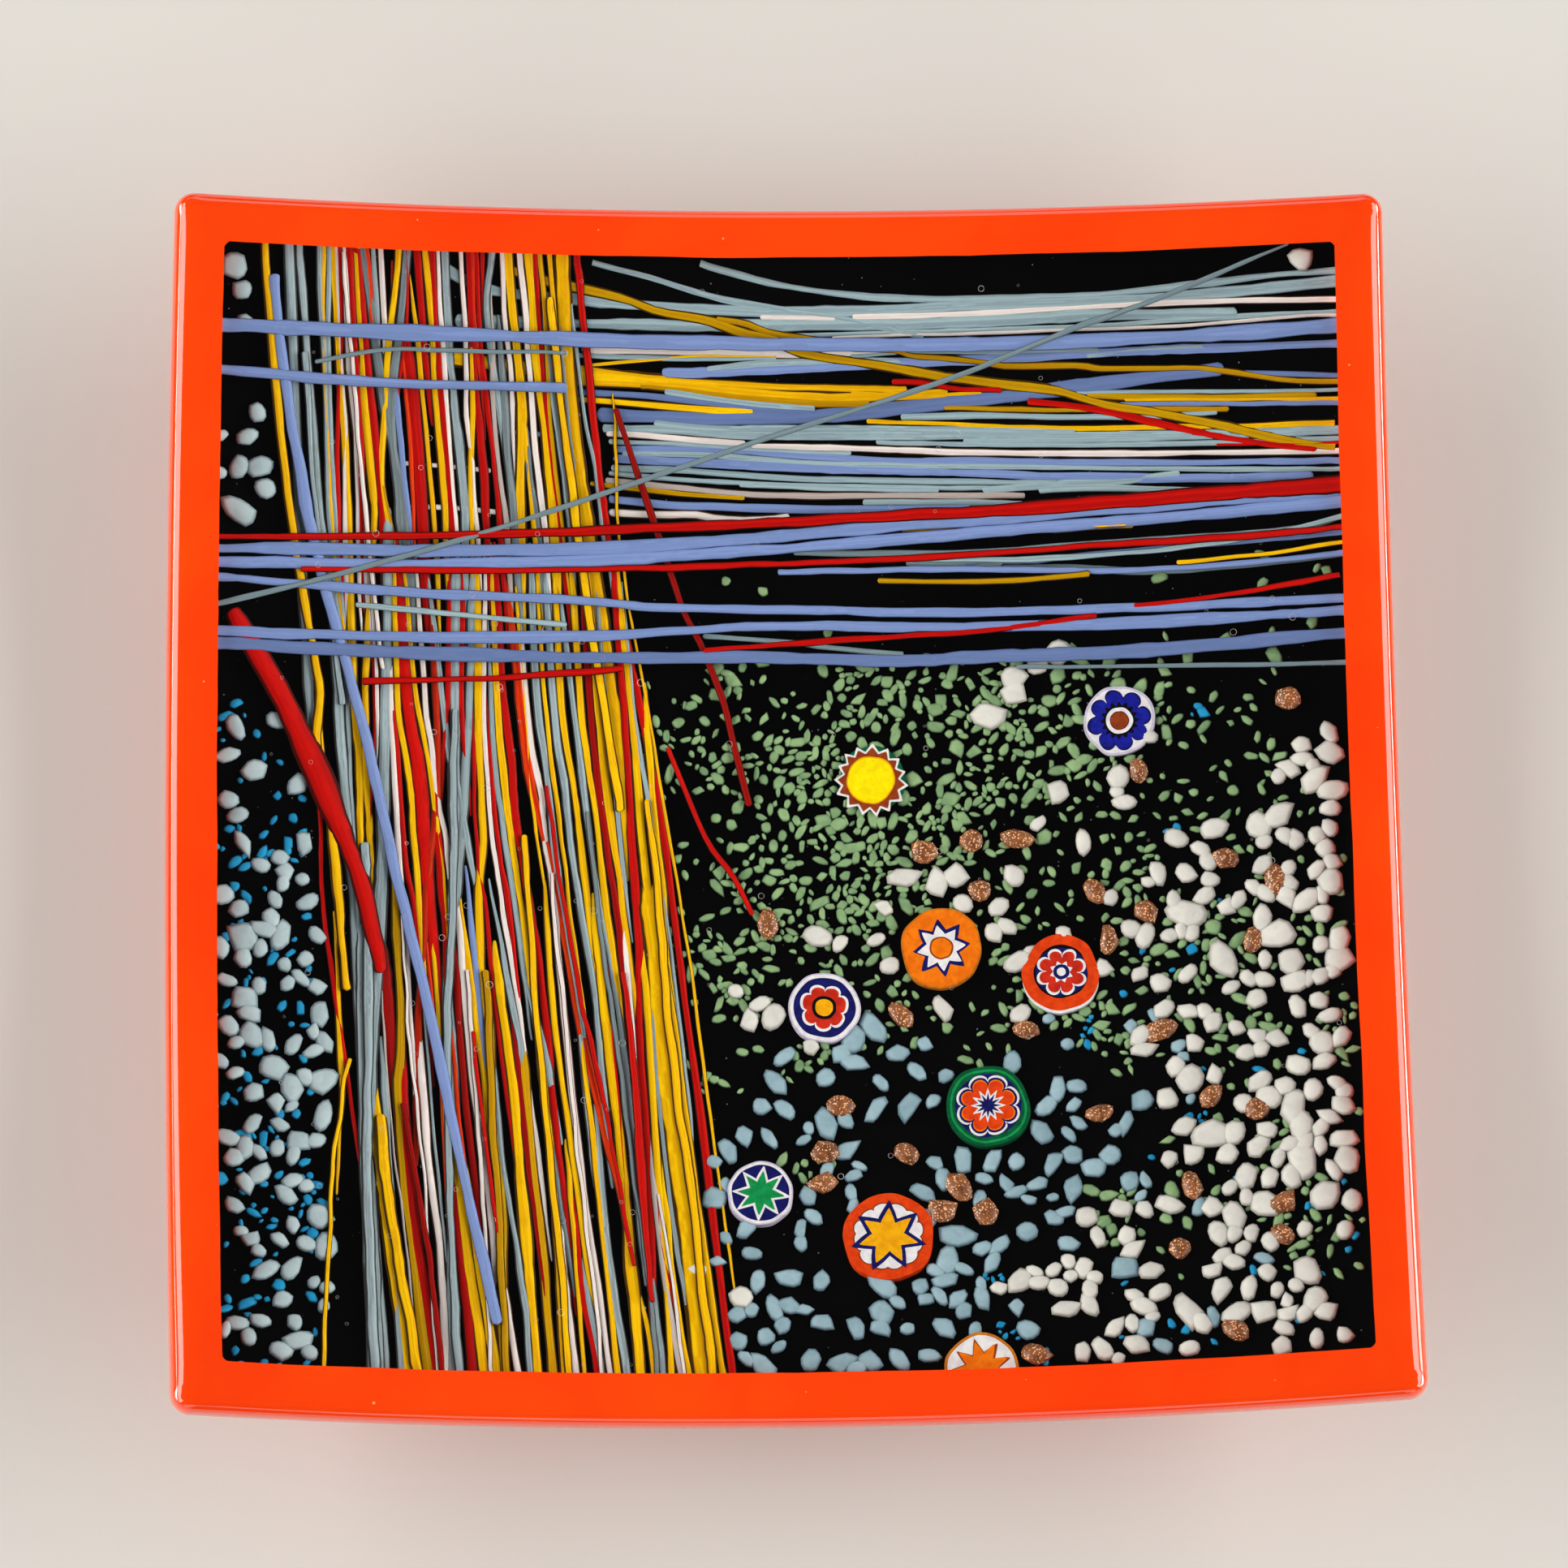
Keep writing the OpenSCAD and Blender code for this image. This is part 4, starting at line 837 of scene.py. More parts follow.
underStrands = [
    ("light", 1, -12.3, 89.7, -2.2, 86.9, 9, 85, 20, 84.1, 33, 83.8, 52, 84, 67, 84.9, 80, 85.8, 91, 85.9),
    ("light", 1.6, -54, 88, -46, 84.8, -32, 83.7, -17, 82.6, -2, 82.1, 12.7, 82.1, 33, 82.7, 52, 83, 71, 83.5,
     91, 84.4),
    ("white", 0.9, -2.6, 81.2, 4, 81.1, 9.5, 80.9),
    ("white", 1, 12.3, 81.2, 33, 81.6, 52, 82, 71, 82.1, 91, 81.4),
    ("light", 1.8, -52, 79.8, -32, 79.9, -9.6, 79.8, 9, 80, 33, 80.2, 52, 80.7, 74.3, 80),
    ("grey", 0.7, 1.5, 78.2, 20, 78.7, 33, 78.9, 52, 79, 74.7, 79.5, 91, 79.6),
    ("white", 0.6, 9, 77.9, 18, 78.2, 30, 78.3, 48.6, 78.5, 67, 78.5, 84, 79.1, 91, 78.9),
    ("light", 0.9, -29.8, 89.6, -20.8, 87.5, -11.2, 84.7, -2.2, 83, 9, 81.3, 16.4, 79.5, 23.8, 78),
    ("white", 1.3, -31.4, 75.9, -20.8, 75.8, -9.7, 75.7, 1.5, 75.4, 12.7, 75.5, 22, 75.9),
    ("light", 1, 12, 75.1, 24, 75.7, 40, 75.4, 52, 74.9),
    ("grey", 0.8, -40, 75, -32, 74.8, -20, 74.6, -9.7, 74.6, 0, 74.9),
    ("yellow", 0.6, -31, 73.3, -24.5, 73.9, -13.4, 74.9, -6, 75, 0, 74.9),
    ("periwinkle", 1.4, -18.4, 72.3, -9.7, 72.6, 1.5, 73.1, 16.4, 73.7, 33, 74, 52, 74.6, 68.7, 74.7, 91, 74.4),
    ("light", 1.1, -11.2, 72.7, -2.2, 73.8, 12.7, 74.1, 20, 73.9),
    ("light", 1, 50, 74.4, 58, 74.8, 68.8, 74.8),
    ("yellow", 2.4, -53, 74, -46, 73.2, -31, 71.7, -24, 71.3, -17.5, 70.8),
    ("yellow", 1.1, -33, 73, -17.9, 71.3, -2.2, 70.3, 12.7, 69.7, 21, 69.6),
    ("yellow", 1.7, -33, 70.8, -17, 70.4, -2.2, 69, 9, 68.4, 16.4, 68.5, 27.6, 68.8),
    ("yellow", 1.5, -22, 70.2, -16.4, 69.8, -6, 68.5, 5.2, 67.6, 15, 67.4),
    ("yellow", 0.6, 12, 69.2, 24, 68.6, 33, 68.9),
    ("periwinkle", 0.9, -40, 69.4, -32, 69.1, -20.8, 68.7, -9.7, 67.4, -2.2, 66.6, 6, 66.2),
    ("light", 1.2, -18, 69.4, -9.7, 68.2, -2.2, 67.2, 6.2, 66.6),
    ("yellow", 1.1, -33, 68, -20.8, 67.2, -9.7, 66.4, -3.8, 66.2),
    ("periwinkle", 2, -29, 65.5, -13.4, 65.1, -2.2, 65.3, 9, 65.7, 20, 66.8, 33, 67.8, 44.9, 69, 56, 70.1, 72,
     71.4),
    ("light", 0.9, 20, 65.2, 33, 65.2, 45, 64.6, 59.8, 64.2, 70.8, 64.4),
    ("yellow", 0.9, 14.5, 64.5, 23.8, 64.2, 33, 63.6, 44.9, 62.9, 59.8, 62.5, 74.7, 62.1, 89.6, 61.8),
    ("yellow", 0.9, 27, 66.6, 36, 66.1, 44.9, 65.7, 59.8, 65.4, 72.7, 65),
    ("yellow", 1.2, 50, 67.9, 56, 67.5, 67, 67, 78, 66.6, 86.8, 66.3),
    ("grey", 0.6, 46, 68.4, 60, 68.2, 74, 67.6, 91, 66.9),
    ("yellow", 0.7, 56, 67, 74, 66.4, 91, 65.6),
    ("periwinkle", 0.8, 52, 66.4, 67, 66, 80, 65.4, 91, 64.9),
    ("periwinkle", 0.8, 68, 71, 78, 70.2, 91, 69.2),
    ("light", 1.2, -19.7, 64.2, -9.7, 63.4, 1.5, 63.5, 16.4, 63.4, 33, 62.9, 48, 62.2),
    ("light", 1.3, -28, 63.4, -17, 63.2, -6, 62.5, 9, 62.4, 33, 62.1, 45, 61.6, 66.8, 61.2),
    ("light", 0.9, 30, 61.2, 52, 60.8, 74.7, 60.6, 91, 60.2),
    ("light", 0.8, 55, 61.6, 74.7, 61.2, 91, 60.9),
    ("light", 0.8, 16, 61.3, 33, 60.7, 52, 60, 70, 59.6, 91, 59.3),
    ("white", 1.1, -27.4, 62.5, -20.8, 62.3, -13.4, 61.6, -5, 61.2),
    ("white", 1.1, -4, 60.8, 5.2, 60.5, 16.4, 60.1, 27.6, 59.5, 48.6, 58.7, 67.2, 58, 91, 57.1),
    ("light", 0.8, -27, 61.3, -13.4, 60.9, -2, 60.1, 12, 59.6),
    ("periwinkle", 1, -26.2, 60.1, -9.7, 60.2, 1.5, 59.4, 20, 58.3, 33, 57.9, 56, 57, 82, 55.9, 91, 55.6),
    ("light", 0.9, -24.8, 59.5, -9.7, 59.2, 5.2, 58.1, 20, 57.6, 33, 57.1, 59.8, 55.9, 82, 54.8, 91, 54.3),
    ("periwinkle", 1.3, -26.2, 58.6, -9.7, 58, 5.2, 57.3, 20, 56.5, 33, 55.9, 48.6, 54.9, 67, 54.1, 86, 53.5),
    ("light", 0.9, -26.6, 57.1, -13.4, 56.7, 1.5, 55.6, 16.4, 55.2, 33, 54.6, 45, 54.1),
    ("light", 0.7, -27, 56.2, -17, 55.6, -2.2, 54.7, 16.4, 54.1, 30, 53.7, 40, 53.5),
    ("grey", 0.7, -6, 54.6, 10, 53.8, 26, 53.5),
    ("light", 1.2, 33, 53.4, 45, 53.9, 56, 54.2, 64.6, 55),
    ("light", 1, 42, 53.1, 52, 53.2, 63.5, 52.5, 70, 52),
    ("white", 1, -27.6, 55, -17, 54.1, -6, 53, 5.2, 52.7, 20, 52.6, 33, 52.3, 39.8, 52.3),
    ("yellow", 0.8, -30, 54.6, -21.2, 53.7, -13.4, 53, -5.2, 52.5),
    ("light", 1, 13.8, 51.7, 22, 51.6, 33, 51.3, 39.4, 50.9),
    ("periwinkle", 1.2, -27, 52.3, -17, 51.3, -2.2, 50.8, 16.4, 50.4, 31, 50.5),
    ("white", 1.2, -27, 50, -19, 49.7, -13.4, 49.8, -9.7, 49.2, -3.3, 48.9, 2, 49.5),
    ("periwinkle", 0.8, -46, 62.6, -40, 62.4, -34, 61.8),
    ("white", 0.8, -60.4, 57, -54, 56.8, -46, 56.4),
    ("white", 0.9, -59, 50.2, -50, 50.2, -42, 49.4),
    ("light", 0.8, 2.6, 43.7, 20, 43.5, 33, 43.5, 52.3, 44.4, 71, 44.8, 84, 45.4, 91, 46.9),
    ("light", 1.1, 20.6, 41.9, 28, 41.7, 36, 41.5),
    ("light", 1, 36, 40.8, 48.6, 40.4, 58, 39.5, 74.7, 39.8, 91, 40.8),
    ("periwinkle", 0.9, 30, 41.5, 41, 41.9, 52, 42.6, 74.7, 43.6, 91, 44.2),
    ("red", 0.5, 70.6, 59.2, 80, 58.9, 91, 58.5),
    ("yellow", 0.6, 20, 47.2, 30, 47.1, 40, 47.9),
    ("yellow", 0.8, 44, 46.6, 50, 46.9, 57, 46.9),
    ("light", 0.8, -12, 30.4, 2, 29.4, 10, 28.3, 20, 27.2),
    ("yellow", 1.5, -44, 88.4, -38, 86.7, -31.3, 85.4, -24.5, 83.9, -19, 82.1, -11.5, 80.8, -6, 78.9, -0.4,
     77.6, 3, 75.9, 7, 74.9, 12.7, 74.1, 20, 72.9, 25.7, 71.8, 30, 71.1, 37.4, 70, 44.9, 69, 48.6, 67.7, 54.2,
     66, 61.6, 64.6, 71, 62.3, 80.3, 59.7, 89.6, 57.9),
    ("yellow", 1, -9.7, 80.9, -5.2, 80.2, -0.4, 78.5, 8.2, 77.2, 12.7, 76, 19, 75.7, 22, 74.8, 27.6, 74.4, 33,
     73.7, 37.5, 73, 48.6, 72.7, 52.3, 72, 59.8, 71.8, 67.2, 71.6, 72.8, 70.7, 82, 69, 91, 68.3),
    ("red", 0.9, 18.6, 70.8, 23.8, 70.7, 29.4, 69.5, 36.3, 69.3),
    ("red", 1.1, 40.4, 67.3, 46.8, 66.4, 54.2, 64.9, 61.7, 62.9, 71, 60.5, 78.4, 59, 86.6, 57.7),
]
# How each list is laid: width over the listed one, depth, waviness, how far free ends sink, first seed
strandLayers = {
    "under": {"strands": underStrands, "wide": 1.15, "foot": -3.95, "wave": 0.6, "sink": 0.0, "seed": 500},
    "bundle": {"strands": bundleStrands, "wide": 1.2, "foot": -3.6, "wave": 1.0, "sink": 0.34, "seed": 0},
}
layerShape = {"footStep": 0.003, "height": 0.5, "carry": 9, "startsWithin": 84, "endsWithin": 80}
# CAD node and the colours of the list that go into it; the piece looks like the first
listedPieces = [
    ("under_light", "light", "grey"), ("under_white", "white"), ("under_periwinkle", "periwinkle"),
    ("under_yellow", "yellow"), ("under_red", "red"),
    ("bundle_yellow", "yellow"), ("bundle_red", "red"), ("bundle_white", "white"),
    ("bundle_grey", "grey", "light"), ("bundle_orange", "ember"), ("bundle_periwinkle", "periwinkle"),
]
# CAD node, colour, axis that it runs along, how much it wavers, width over the CAD's
singlePieces = [
    ("crossing_yellow", "yellow", 1, 1.6, 0.9),
    ("crossing_grey", "grey", 1, 1.6, 0.7),
    ("crossing_white", "white", 1, 1.6, 0.7),
    ("crossing_red", "red", 1, 1.6, 0.7),
    ("long_periwinkle", "periwinkle", 1, 1.0, 1.0),
    ("red_rod", "red", 1, 1.0, 1.0),
    ("loose_red", "red", 1, 0.6, 1.1),
    ("yellow_thread", "yellow", 1, 2.0, 1.0),
    ("over_periwinkle", "periwinkle", 0, 0.8, 1.15),
    ("over_light", "light", 0, 0.8, 1.0),
    ("over_red", "red", 0, 0.8, 1.25),
    ("over_yellow", "yellow", 0, 0.8, 1.1),
    ("diagonal_stringer", "light", 0, 0.5, 1.0),
]
singleShape = {"highest": 0.8, "heightShare": 1.1, "seedStep": 100}


# A strand that stops inside the bundle carries on a little, to fade out between its neighbours
def carryOn(places):
    (x0, y0, x1, y1), (x3, y3, x2, y2) = places[:4], places[-4:]
    more = layerShape["carry"]
    if abs(y0) < layerShape["startsWithin"]:
        places = [x0 + (x0 - x1) / (y0 - y1) * more, y0 + more] + places
    if abs(y2) < layerShape["endsWithin"]:
        places = places + [x2 + (x2 - x3) / (y2 - y3) * -more, y2 - more]
    return places


def buildListedPiece(node, *colors):
    layer = strandLayers[node.split("_")[0]]
    bm = newPile()
    for n, (color, width, *places) in enumerate(layer["strands"]):
        if color in colors:
            half = width / 2 * layer["wide"]
            places = carryOn(places) if layer["sink"] else places
            line = [(Vector(places[i : i + 2]), half) for i in range(0, len(places), 2)]
            foot = layer["foot"] + layerShape["footStep"] * n
            addStrand(bm, line, foot, layerShape["height"], layer["seed"] + n, layer["wave"], layer["sink"])
    finishPiece(bm, pieceName(node), [strandLooks[colors[0]]], [node])


def buildSinglePiece(g, node, look, along, wave, wide):
    bm = newPile()
    for n, island in enumerate(islandsOf(node)):
        line, foot = centreLine(island, along)
        line = [(place, half * wide) for place, half in line]
        height = min(singleShape["highest"], line[len(line) // 2][1] * singleShape["heightShare"])
        addStrand(bm, line, foot, height, g * singleShape["seedStep"] + n, wave)
    finishPiece(bm, pieceName(node), [strandLooks[look]], [node])


for listed in listedPieces:
    buildListedPiece(*listed)
for g, single in enumerate(singlePieces):
    buildSinglePiece(g, *single)
for blank in tubeBlanks.values():
    bpy.data.meshes.remove(blank)
print("stringers made")


# Frit: melted pebbles on the CAD lumps, and more of them strewn round about by size and colour

# Each outline is a softened polygon, drawn out one way
fritShape = {
    "segments": 11, "rows": 5, "sharpness": 9.0, "sides": (4, 5, 5, 6, 7), "askew": 0.22, "faceAway": (0.78, 1.05),
    "leastFace": 0.02, "fullness": 0.75, "rimGap": 0.08,
    "riseShare": 0.9, "leastRise": 0.2, "footGap": 0.04, "footStep": 0.02, "footSteps": 7,
    "grid": 6.0, "shift": 0.7, "closest": 0.6, "loneSeed": 300, "nodeSeed": 1000,
}
copperShape = {"growth": 1.22, "height": 1.6, "foot": 0.2, "stretch": 1.7, "seed": 9000}


def pebbleBlank():
    bm = bmesh.new()
    segments, rows = fritShape["segments"], fritShape["rows"]
    bmesh.ops.create_uvsphere(bm, u_segments=segments, v_segments=rows, radius=1)
    return blankMesh(bm, "pebbleBlank")


def addPebble(bm, blank, place, radius, height, seed, foot, stretchMost):
    rnd = random.Random(seed)
    made = addCopy(bm, blank)
    across = bm.verts.layers.float["across"]
    tint = bm.verts.layers.float["tint"]
    mood, turn, stretch = rnd.random(), rnd.uniform(0, math.tau), rnd.uniform(1.0, stretchMost)
    sides = rnd.choice(fritShape["sides"])
    start = rnd.uniform(0, math.tau)
    askew, sharpness = fritShape["askew"], fritShape["sharpness"]
    faces = [(start + (k + rnd.uniform(-askew, askew)) * math.tau / sides, rnd.uniform(*fritShape["faceAway"]))
             for k in range(sides)]
    cosTurn, sinTurn = math.cos(turn), math.sin(turn)
    for v in made:
        angle = math.atan2(v.co.y, v.co.x)
        total = sum(max(0.0, math.cos(angle - at) / away) ** sharpness for at, away in faces)
        outline = max(total, fritShape["leastFace"]) ** (-1 / sharpness)
        reach = math.hypot(v.co.x, v.co.y)
        fill = reach ** fritShape["fullness"] * outline * radius
        x = fill * math.cos(angle) * math.sqrt(stretch)
        y = fill * math.sin(angle) / math.sqrt(stretch)
        v[across] = reach if v.co.z > -0.1 else 1.0
        v[tint] = mood
        turnedX, turnedY = place.x + x * cosTurn - y * sinTurn, place.y + x * sinTurn + y * cosTurn
        v.co = insidePanel(turnedX, turnedY, foot + height * (0.5 + 0.5 * v.co.z), fritShape["rimGap"])


def lumpsOf(node):
    found = []
    for island in islandsOf(node):
        top = max(island, key=lambda p: p.z)
        foot = [p for p in island if p is not top]
        middle = sum(foot, Vector()) / len(foot)
        found.append((middle, sum((p - middle).length for p in foot) / len(foot)))
    return found


# Height, size over the CAD's, longest stretch of each frit
fritKinds = {
    "white": (1.5, 1.16, 1.6), "ice": (1.2, 1.12, 2.0), "pale": (1.3, 1.12, 1.8),
    "green": (0.8, 1.1, 2.4), "turquoise": (0.8, 1.05, 2.2),
}
# More grains: look, middle x and y, spread x and y, how many, smallest and largest radius, grains to a clump
strewn = [
    ("white", 84, -30, 4, 17, 54, 1.6, 3.3, 8), ("white", 72, -46, 6, 10, 17, 1.5, 3, 5),
    ("white", 62, -10, 5, 6, 8, 1.5, 2.8, 3), ("white", 86, 4, 3, 8, 6, 1.4, 2.4, 2),
    ("white", 46, -78, 14, 6, 20, 1.2, 2.4, 3), ("white", 74, -76, 10, 8, 13, 1.4, 2.8, 3),
    ("white", 20, -11, 6, 4, 6, 1.5, 2.8, 2), ("white", 42, 14, 4, 5, 5, 1.6, 2.5, 2),
    ("white", -11, -23, 4, 4, 3, 1.4, 2.2, 1), ("white", 8, -24, 8, 5, 5, 1.2, 2.4, 1),
    ("white", 56, -24, 8, 7, 12, 1.2, 2.4, 3), ("ice", 8, -46, 12, 7, 14, 1.1, 2.6, 2),
    ("ice", 26, -62, 10, 6, 18, 1.2, 2.8, 4), ("ice", 14, -82, 18, 5, 18, 1.1, 2.3, 3),
    ("ice", 44, -62, 10, 8, 14, 1, 2.2, 2), ("ice", 60, -40, 12, 10, 8, 1, 2, 1),
    ("ice", -12, -58, 4, 6, 4, 1.1, 2, 1), ("pale", -84, -20, 5, 13, 16, 1.4, 2.7, 3),
    ("pale", -82, -50, 5, 12, 18, 1.4, 2.7, 3), ("pale", -84, -78, 5, 8, 9, 1.2, 2.4, 2),
    ("pale", -75, -34, 3, 10, 6, 1.1, 2.2, 2), ("green", 2, 8, 15, 12, 190, 0.45, 1.25, 11),
    ("green", 24, 4, 12, 12, 170, 0.45, 1.4, 13), ("green", 44, 6, 9, 9, 60, 0.45, 1.4, 8),
    ("green", 18, -20, 14, 7, 90, 0.45, 1.4, 9), ("green", 62, 22, 18, 4, 26, 0.5, 1.4, 4),
    ("green", 66, -46, 9, 15, 70, 0.5, 1.6, 6), ("green", -10, -16, 5, 14, 34, 0.45, 1.2, 5),
    ("green", 2, 24, 16, 3, 34, 0.45, 1.5, 5), ("green", 64, 8, 10, 10, 26, 0.45, 1.2, 5),
    ("green", -8, -44, 6, 8, 12, 0.45, 1.1, 3), ("green", 36, -32, 16, 6, 20, 0.5, 1.2, 4),
    ("green", 80, -56, 6, 16, 30, 0.5, 1.4, 4), ("turquoise", -84, -24, 5, 18, 36, 0.35, 1.3, 3),
    ("turquoise", -80, -60, 7, 18, 44, 0.35, 1.5, 3), ("turquoise", 72, -50, 10, 22, 16, 0.35, 0.9, 2),
    ("turquoise", 50, -78, 16, 6, 14, 0.35, 0.8, 2), ("turquoise", 70, -12, 8, 12, 7, 0.35, 1, 1),
]
# Single pebbles that lie apart from the rest: look, x, y, radius
lonePebbles = [
    ("pale", -88, 87, 2.3), ("pale", -84, 64, 1.7), ("pale", -83.5, 55.5, 2.1), ("pale", -82.5, 52, 1.9),
    ("pale", -86.6, 48.3, 2.6), ("pale", -90, 60, 1.2), ("pale", -90, 54, 1.2), ("pale", -87, 13.8, 2),
    ("pale", -80.5, 15, 1.7), ("pale", -84, 7, 2), ("pale", -77, 5, 1.8), ("pale", -88, 2, 1.7),
    ("white", 84.8, 88.2, 2.1), ("white", -14.6, -72.4, 1.5), ("white", -8, -77, 2.1),
    ("green", -8.2, 39.2, 0.9), ("green", -2.4, 37.6, 0.9), ("green", 8, 31, 1), ("green", 61, 38.4, 1.2),
    ("green", 77.5, 41.2, 1), ("green", 77.4, 36.6, 1), ("green", 86.2, 38.6, 0.8), ("green", 87.8, 37.8, 1),
    ("green", 85.2, 30, 1.1), ("green", 78.6, 28.4, 0.9), ("green", 71.2, 28, 1), ("green", 61.8, 28.8, 0.7),
    ("green", 47, 27.6, 0.9), ("green", 65.2, 25.3, 1.1), ("green", 79, 24.8, 1.6),
]
strewing = {
    "seed": 11, "firstSeed": 20000, "cellSeed": 7, "triesEach": 16, "heartEvery": 3, "clumpReach": 0.85,
    "smallBias": 1.4, "closest": 0.66, "overRim": 0.8, "top": 27,
    "bundleLeft": -73, "bundleRight": -10.5, "bundleLean": 0.118,
}


# True where the stringers lie, so that no grain is strewn there
def underStringers(place, radius):
    right = strewing["bundleRight"] - (place.y + panelHalf) * strewing["bundleLean"]
    return place.y > strewing["top"] or strewing["bundleLeft"] < place.x < right + radius


def buildFrit():
    blank = pebbleBlank()
    piles = {look: newPile() for look in fritKinds}
    taken = {}

    def cellOf(place):
        return int(place.x // fritShape["grid"]), int(place.y // fritShape["grid"])

    def claim(place, radius):
        taken.setdefault(cellOf(place), []).append((place, radius))

    def crowded(place, radius, closeness):
        cx, cy = cellOf(place)
        cells = [(gx, gy) for gx in range(cx - 1, cx + 2) for gy in range(cy - 1, cy + 2)]
        return any(math.hypot(place.x - other.x, place.y - other.y) < (radius + size) * closeness
                   for cell in cells for other, size in taken.get(cell, ()))

    def settle(look, place, radius, seed, growth=1.0):
        claim(place, radius)
        height, _, stretch = fritKinds[look]
        rise = min(height, fritShape["riseShare"] * radius + fritShape["leastRise"])
        foot = panelTop + fritShape["footGap"] + (seed % fritShape["footSteps"]) * fritShape["footStep"]
        addPebble(piles[look], blank, place, radius * growth, rise, seed, foot, stretch)

    for place, radius, _ in sliceSpots():
        for k in range(6):  # six claims cover a slice, so that no grain lands on it
            spot = place + Vector((math.cos(k * math.tau / 6), math.sin(k * math.tau / 6), 0)) * radius * 0.55
            claim(spot, radius * 0.5)
    copperPile = newPile()
    for n, (place, radius) in enumerate(lumpsOf("frit_copper")):
        claim(place, radius)
        addPebble(copperPile, blank, place, radius * copperShape["growth"], copperShape["height"],
                  copperShape["seed"] + n, panelTop + copperShape["foot"], copperShape["stretch"])
    finishPiece(copperPile, "fritCopper", [copper], ["frit_copper"])
    for n, (look, x, y, radius) in enumerate(lonePebbles):
        settle(look, Vector((x, y, 0)), radius, fritShape["loneSeed"] + n)
    for g, (look, (_, growth, _)) in enumerate(fritKinds.items()):
        for n, (place, radius) in enumerate(lumpsOf("frit_" + look)):
            seed = g * fritShape["nodeSeed"] + n
            rnd, most = random.Random(seed), fritShape["shift"]
            place = place + Vector((rnd.uniform(-most, most), rnd.uniform(-most, most), 0))
            if not crowded(place, radius, fritShape["closest"]):
                settle(look, place, radius, seed, growth)
    rnd = random.Random(strewing["seed"])
    for look, x, y, spreadX, spreadY, count, small, large, clump in strewn:
        closeness = (fritShape if look == "white" else strewing)["closest"]
        placed = tries = 0
        while placed < count and tries < count * strewing["triesEach"]:
            if tries % (clump * strewing["heartEvery"]) == 0:
                heart = Vector((rnd.gauss(x, spreadX), rnd.gauss(y, spreadY), 0))
            tries += 1
            reach = large * math.sqrt(clump) * strewing["clumpReach"]
            place = heart + Vector((rnd.gauss(0, reach), rnd.gauss(0, reach), 0))
            radius = small + (large - small) * rnd.random() ** strewing["smallBias"]
            if max(abs(place.x), abs(place.y)) > panelHalf - radius * strewing["overRim"]:
                continue
            if underStringers(place, radius) or crowded(place, radius, closeness):
                continue
            settle(look, place, radius, strewing["firstSeed"] + len(taken) * strewing["cellSeed"] + tries)
            placed += 1
    for look, pile in piles.items():
        finishPiece(pile, pieceName("frit_" + look), [fritLooks[look]], ["frit_" + look])
    bpy.data.meshes.remove(blank)


# Slices of patterned cane: flat shapes stacked from the ring inwards

caneColors = {
    "white": ((0.82, 0.8, 0.8), (0.66, 0.64, 0.68)),
    "lilac": ((0.6, 0.56, 0.68), (0.44, 0.4, 0.55)),
    "navy": ((0.008, 0.01, 0.13), (0.004, 0.005, 0.07)),
    "blue": ((0.01, 0.015, 0.34), (0.006, 0.008, 0.2)),
    "black": ((0.003, 0.003, 0.004), (0.001, 0.001, 0.002)),
    "red": ((0.6, 0.028, 0.01), (0.42, 0.015, 0.006)),
    "redOrange": ((0.75, 0.06, 0.004), (0.58, 0.035, 0.003)),
    "orange": ((0.86, 0.2, 0.004), (0.72, 0.13, 0.002)),
    "rust": ((0.3, 0.05, 0.01), (0.2, 0.03, 0.006)),
    "yellow": ((0.9, 0.78, 0.0), (0.82, 0.62, 0.0)),
    "gold": ((0.86, 0.42, 0.004), (0.72, 0.3, 0.002)),
    "amber": ((0.62, 0.2, 0.012), (0.42, 0.12, 0.008)),
    "green": ((0.006, 0.3, 0.08), (0.004, 0.2, 0.05)),
    "deepGreen": ((0.002, 0.11, 0.04), (0.001, 0.06, 0.02)),
}
caneLooks = {key: caneGlass("cane" + key[0].upper() + key[1:], *pair) for key, pair in caneColors.items()}


# The shapes of a slice as (colour, kind, points, inner radius, outer radius, sideways shift), in slice radii

def disc(color, radius, shift=0):
    return color, "disc", 0, radius, radius, shift


def star(color, points, inner, outer, shift=0):
    return color, "star", points, inner, outer, shift


def petals(color, points, inner, outer, shift=0):
    return color, "petal", points, inner, outer, shift


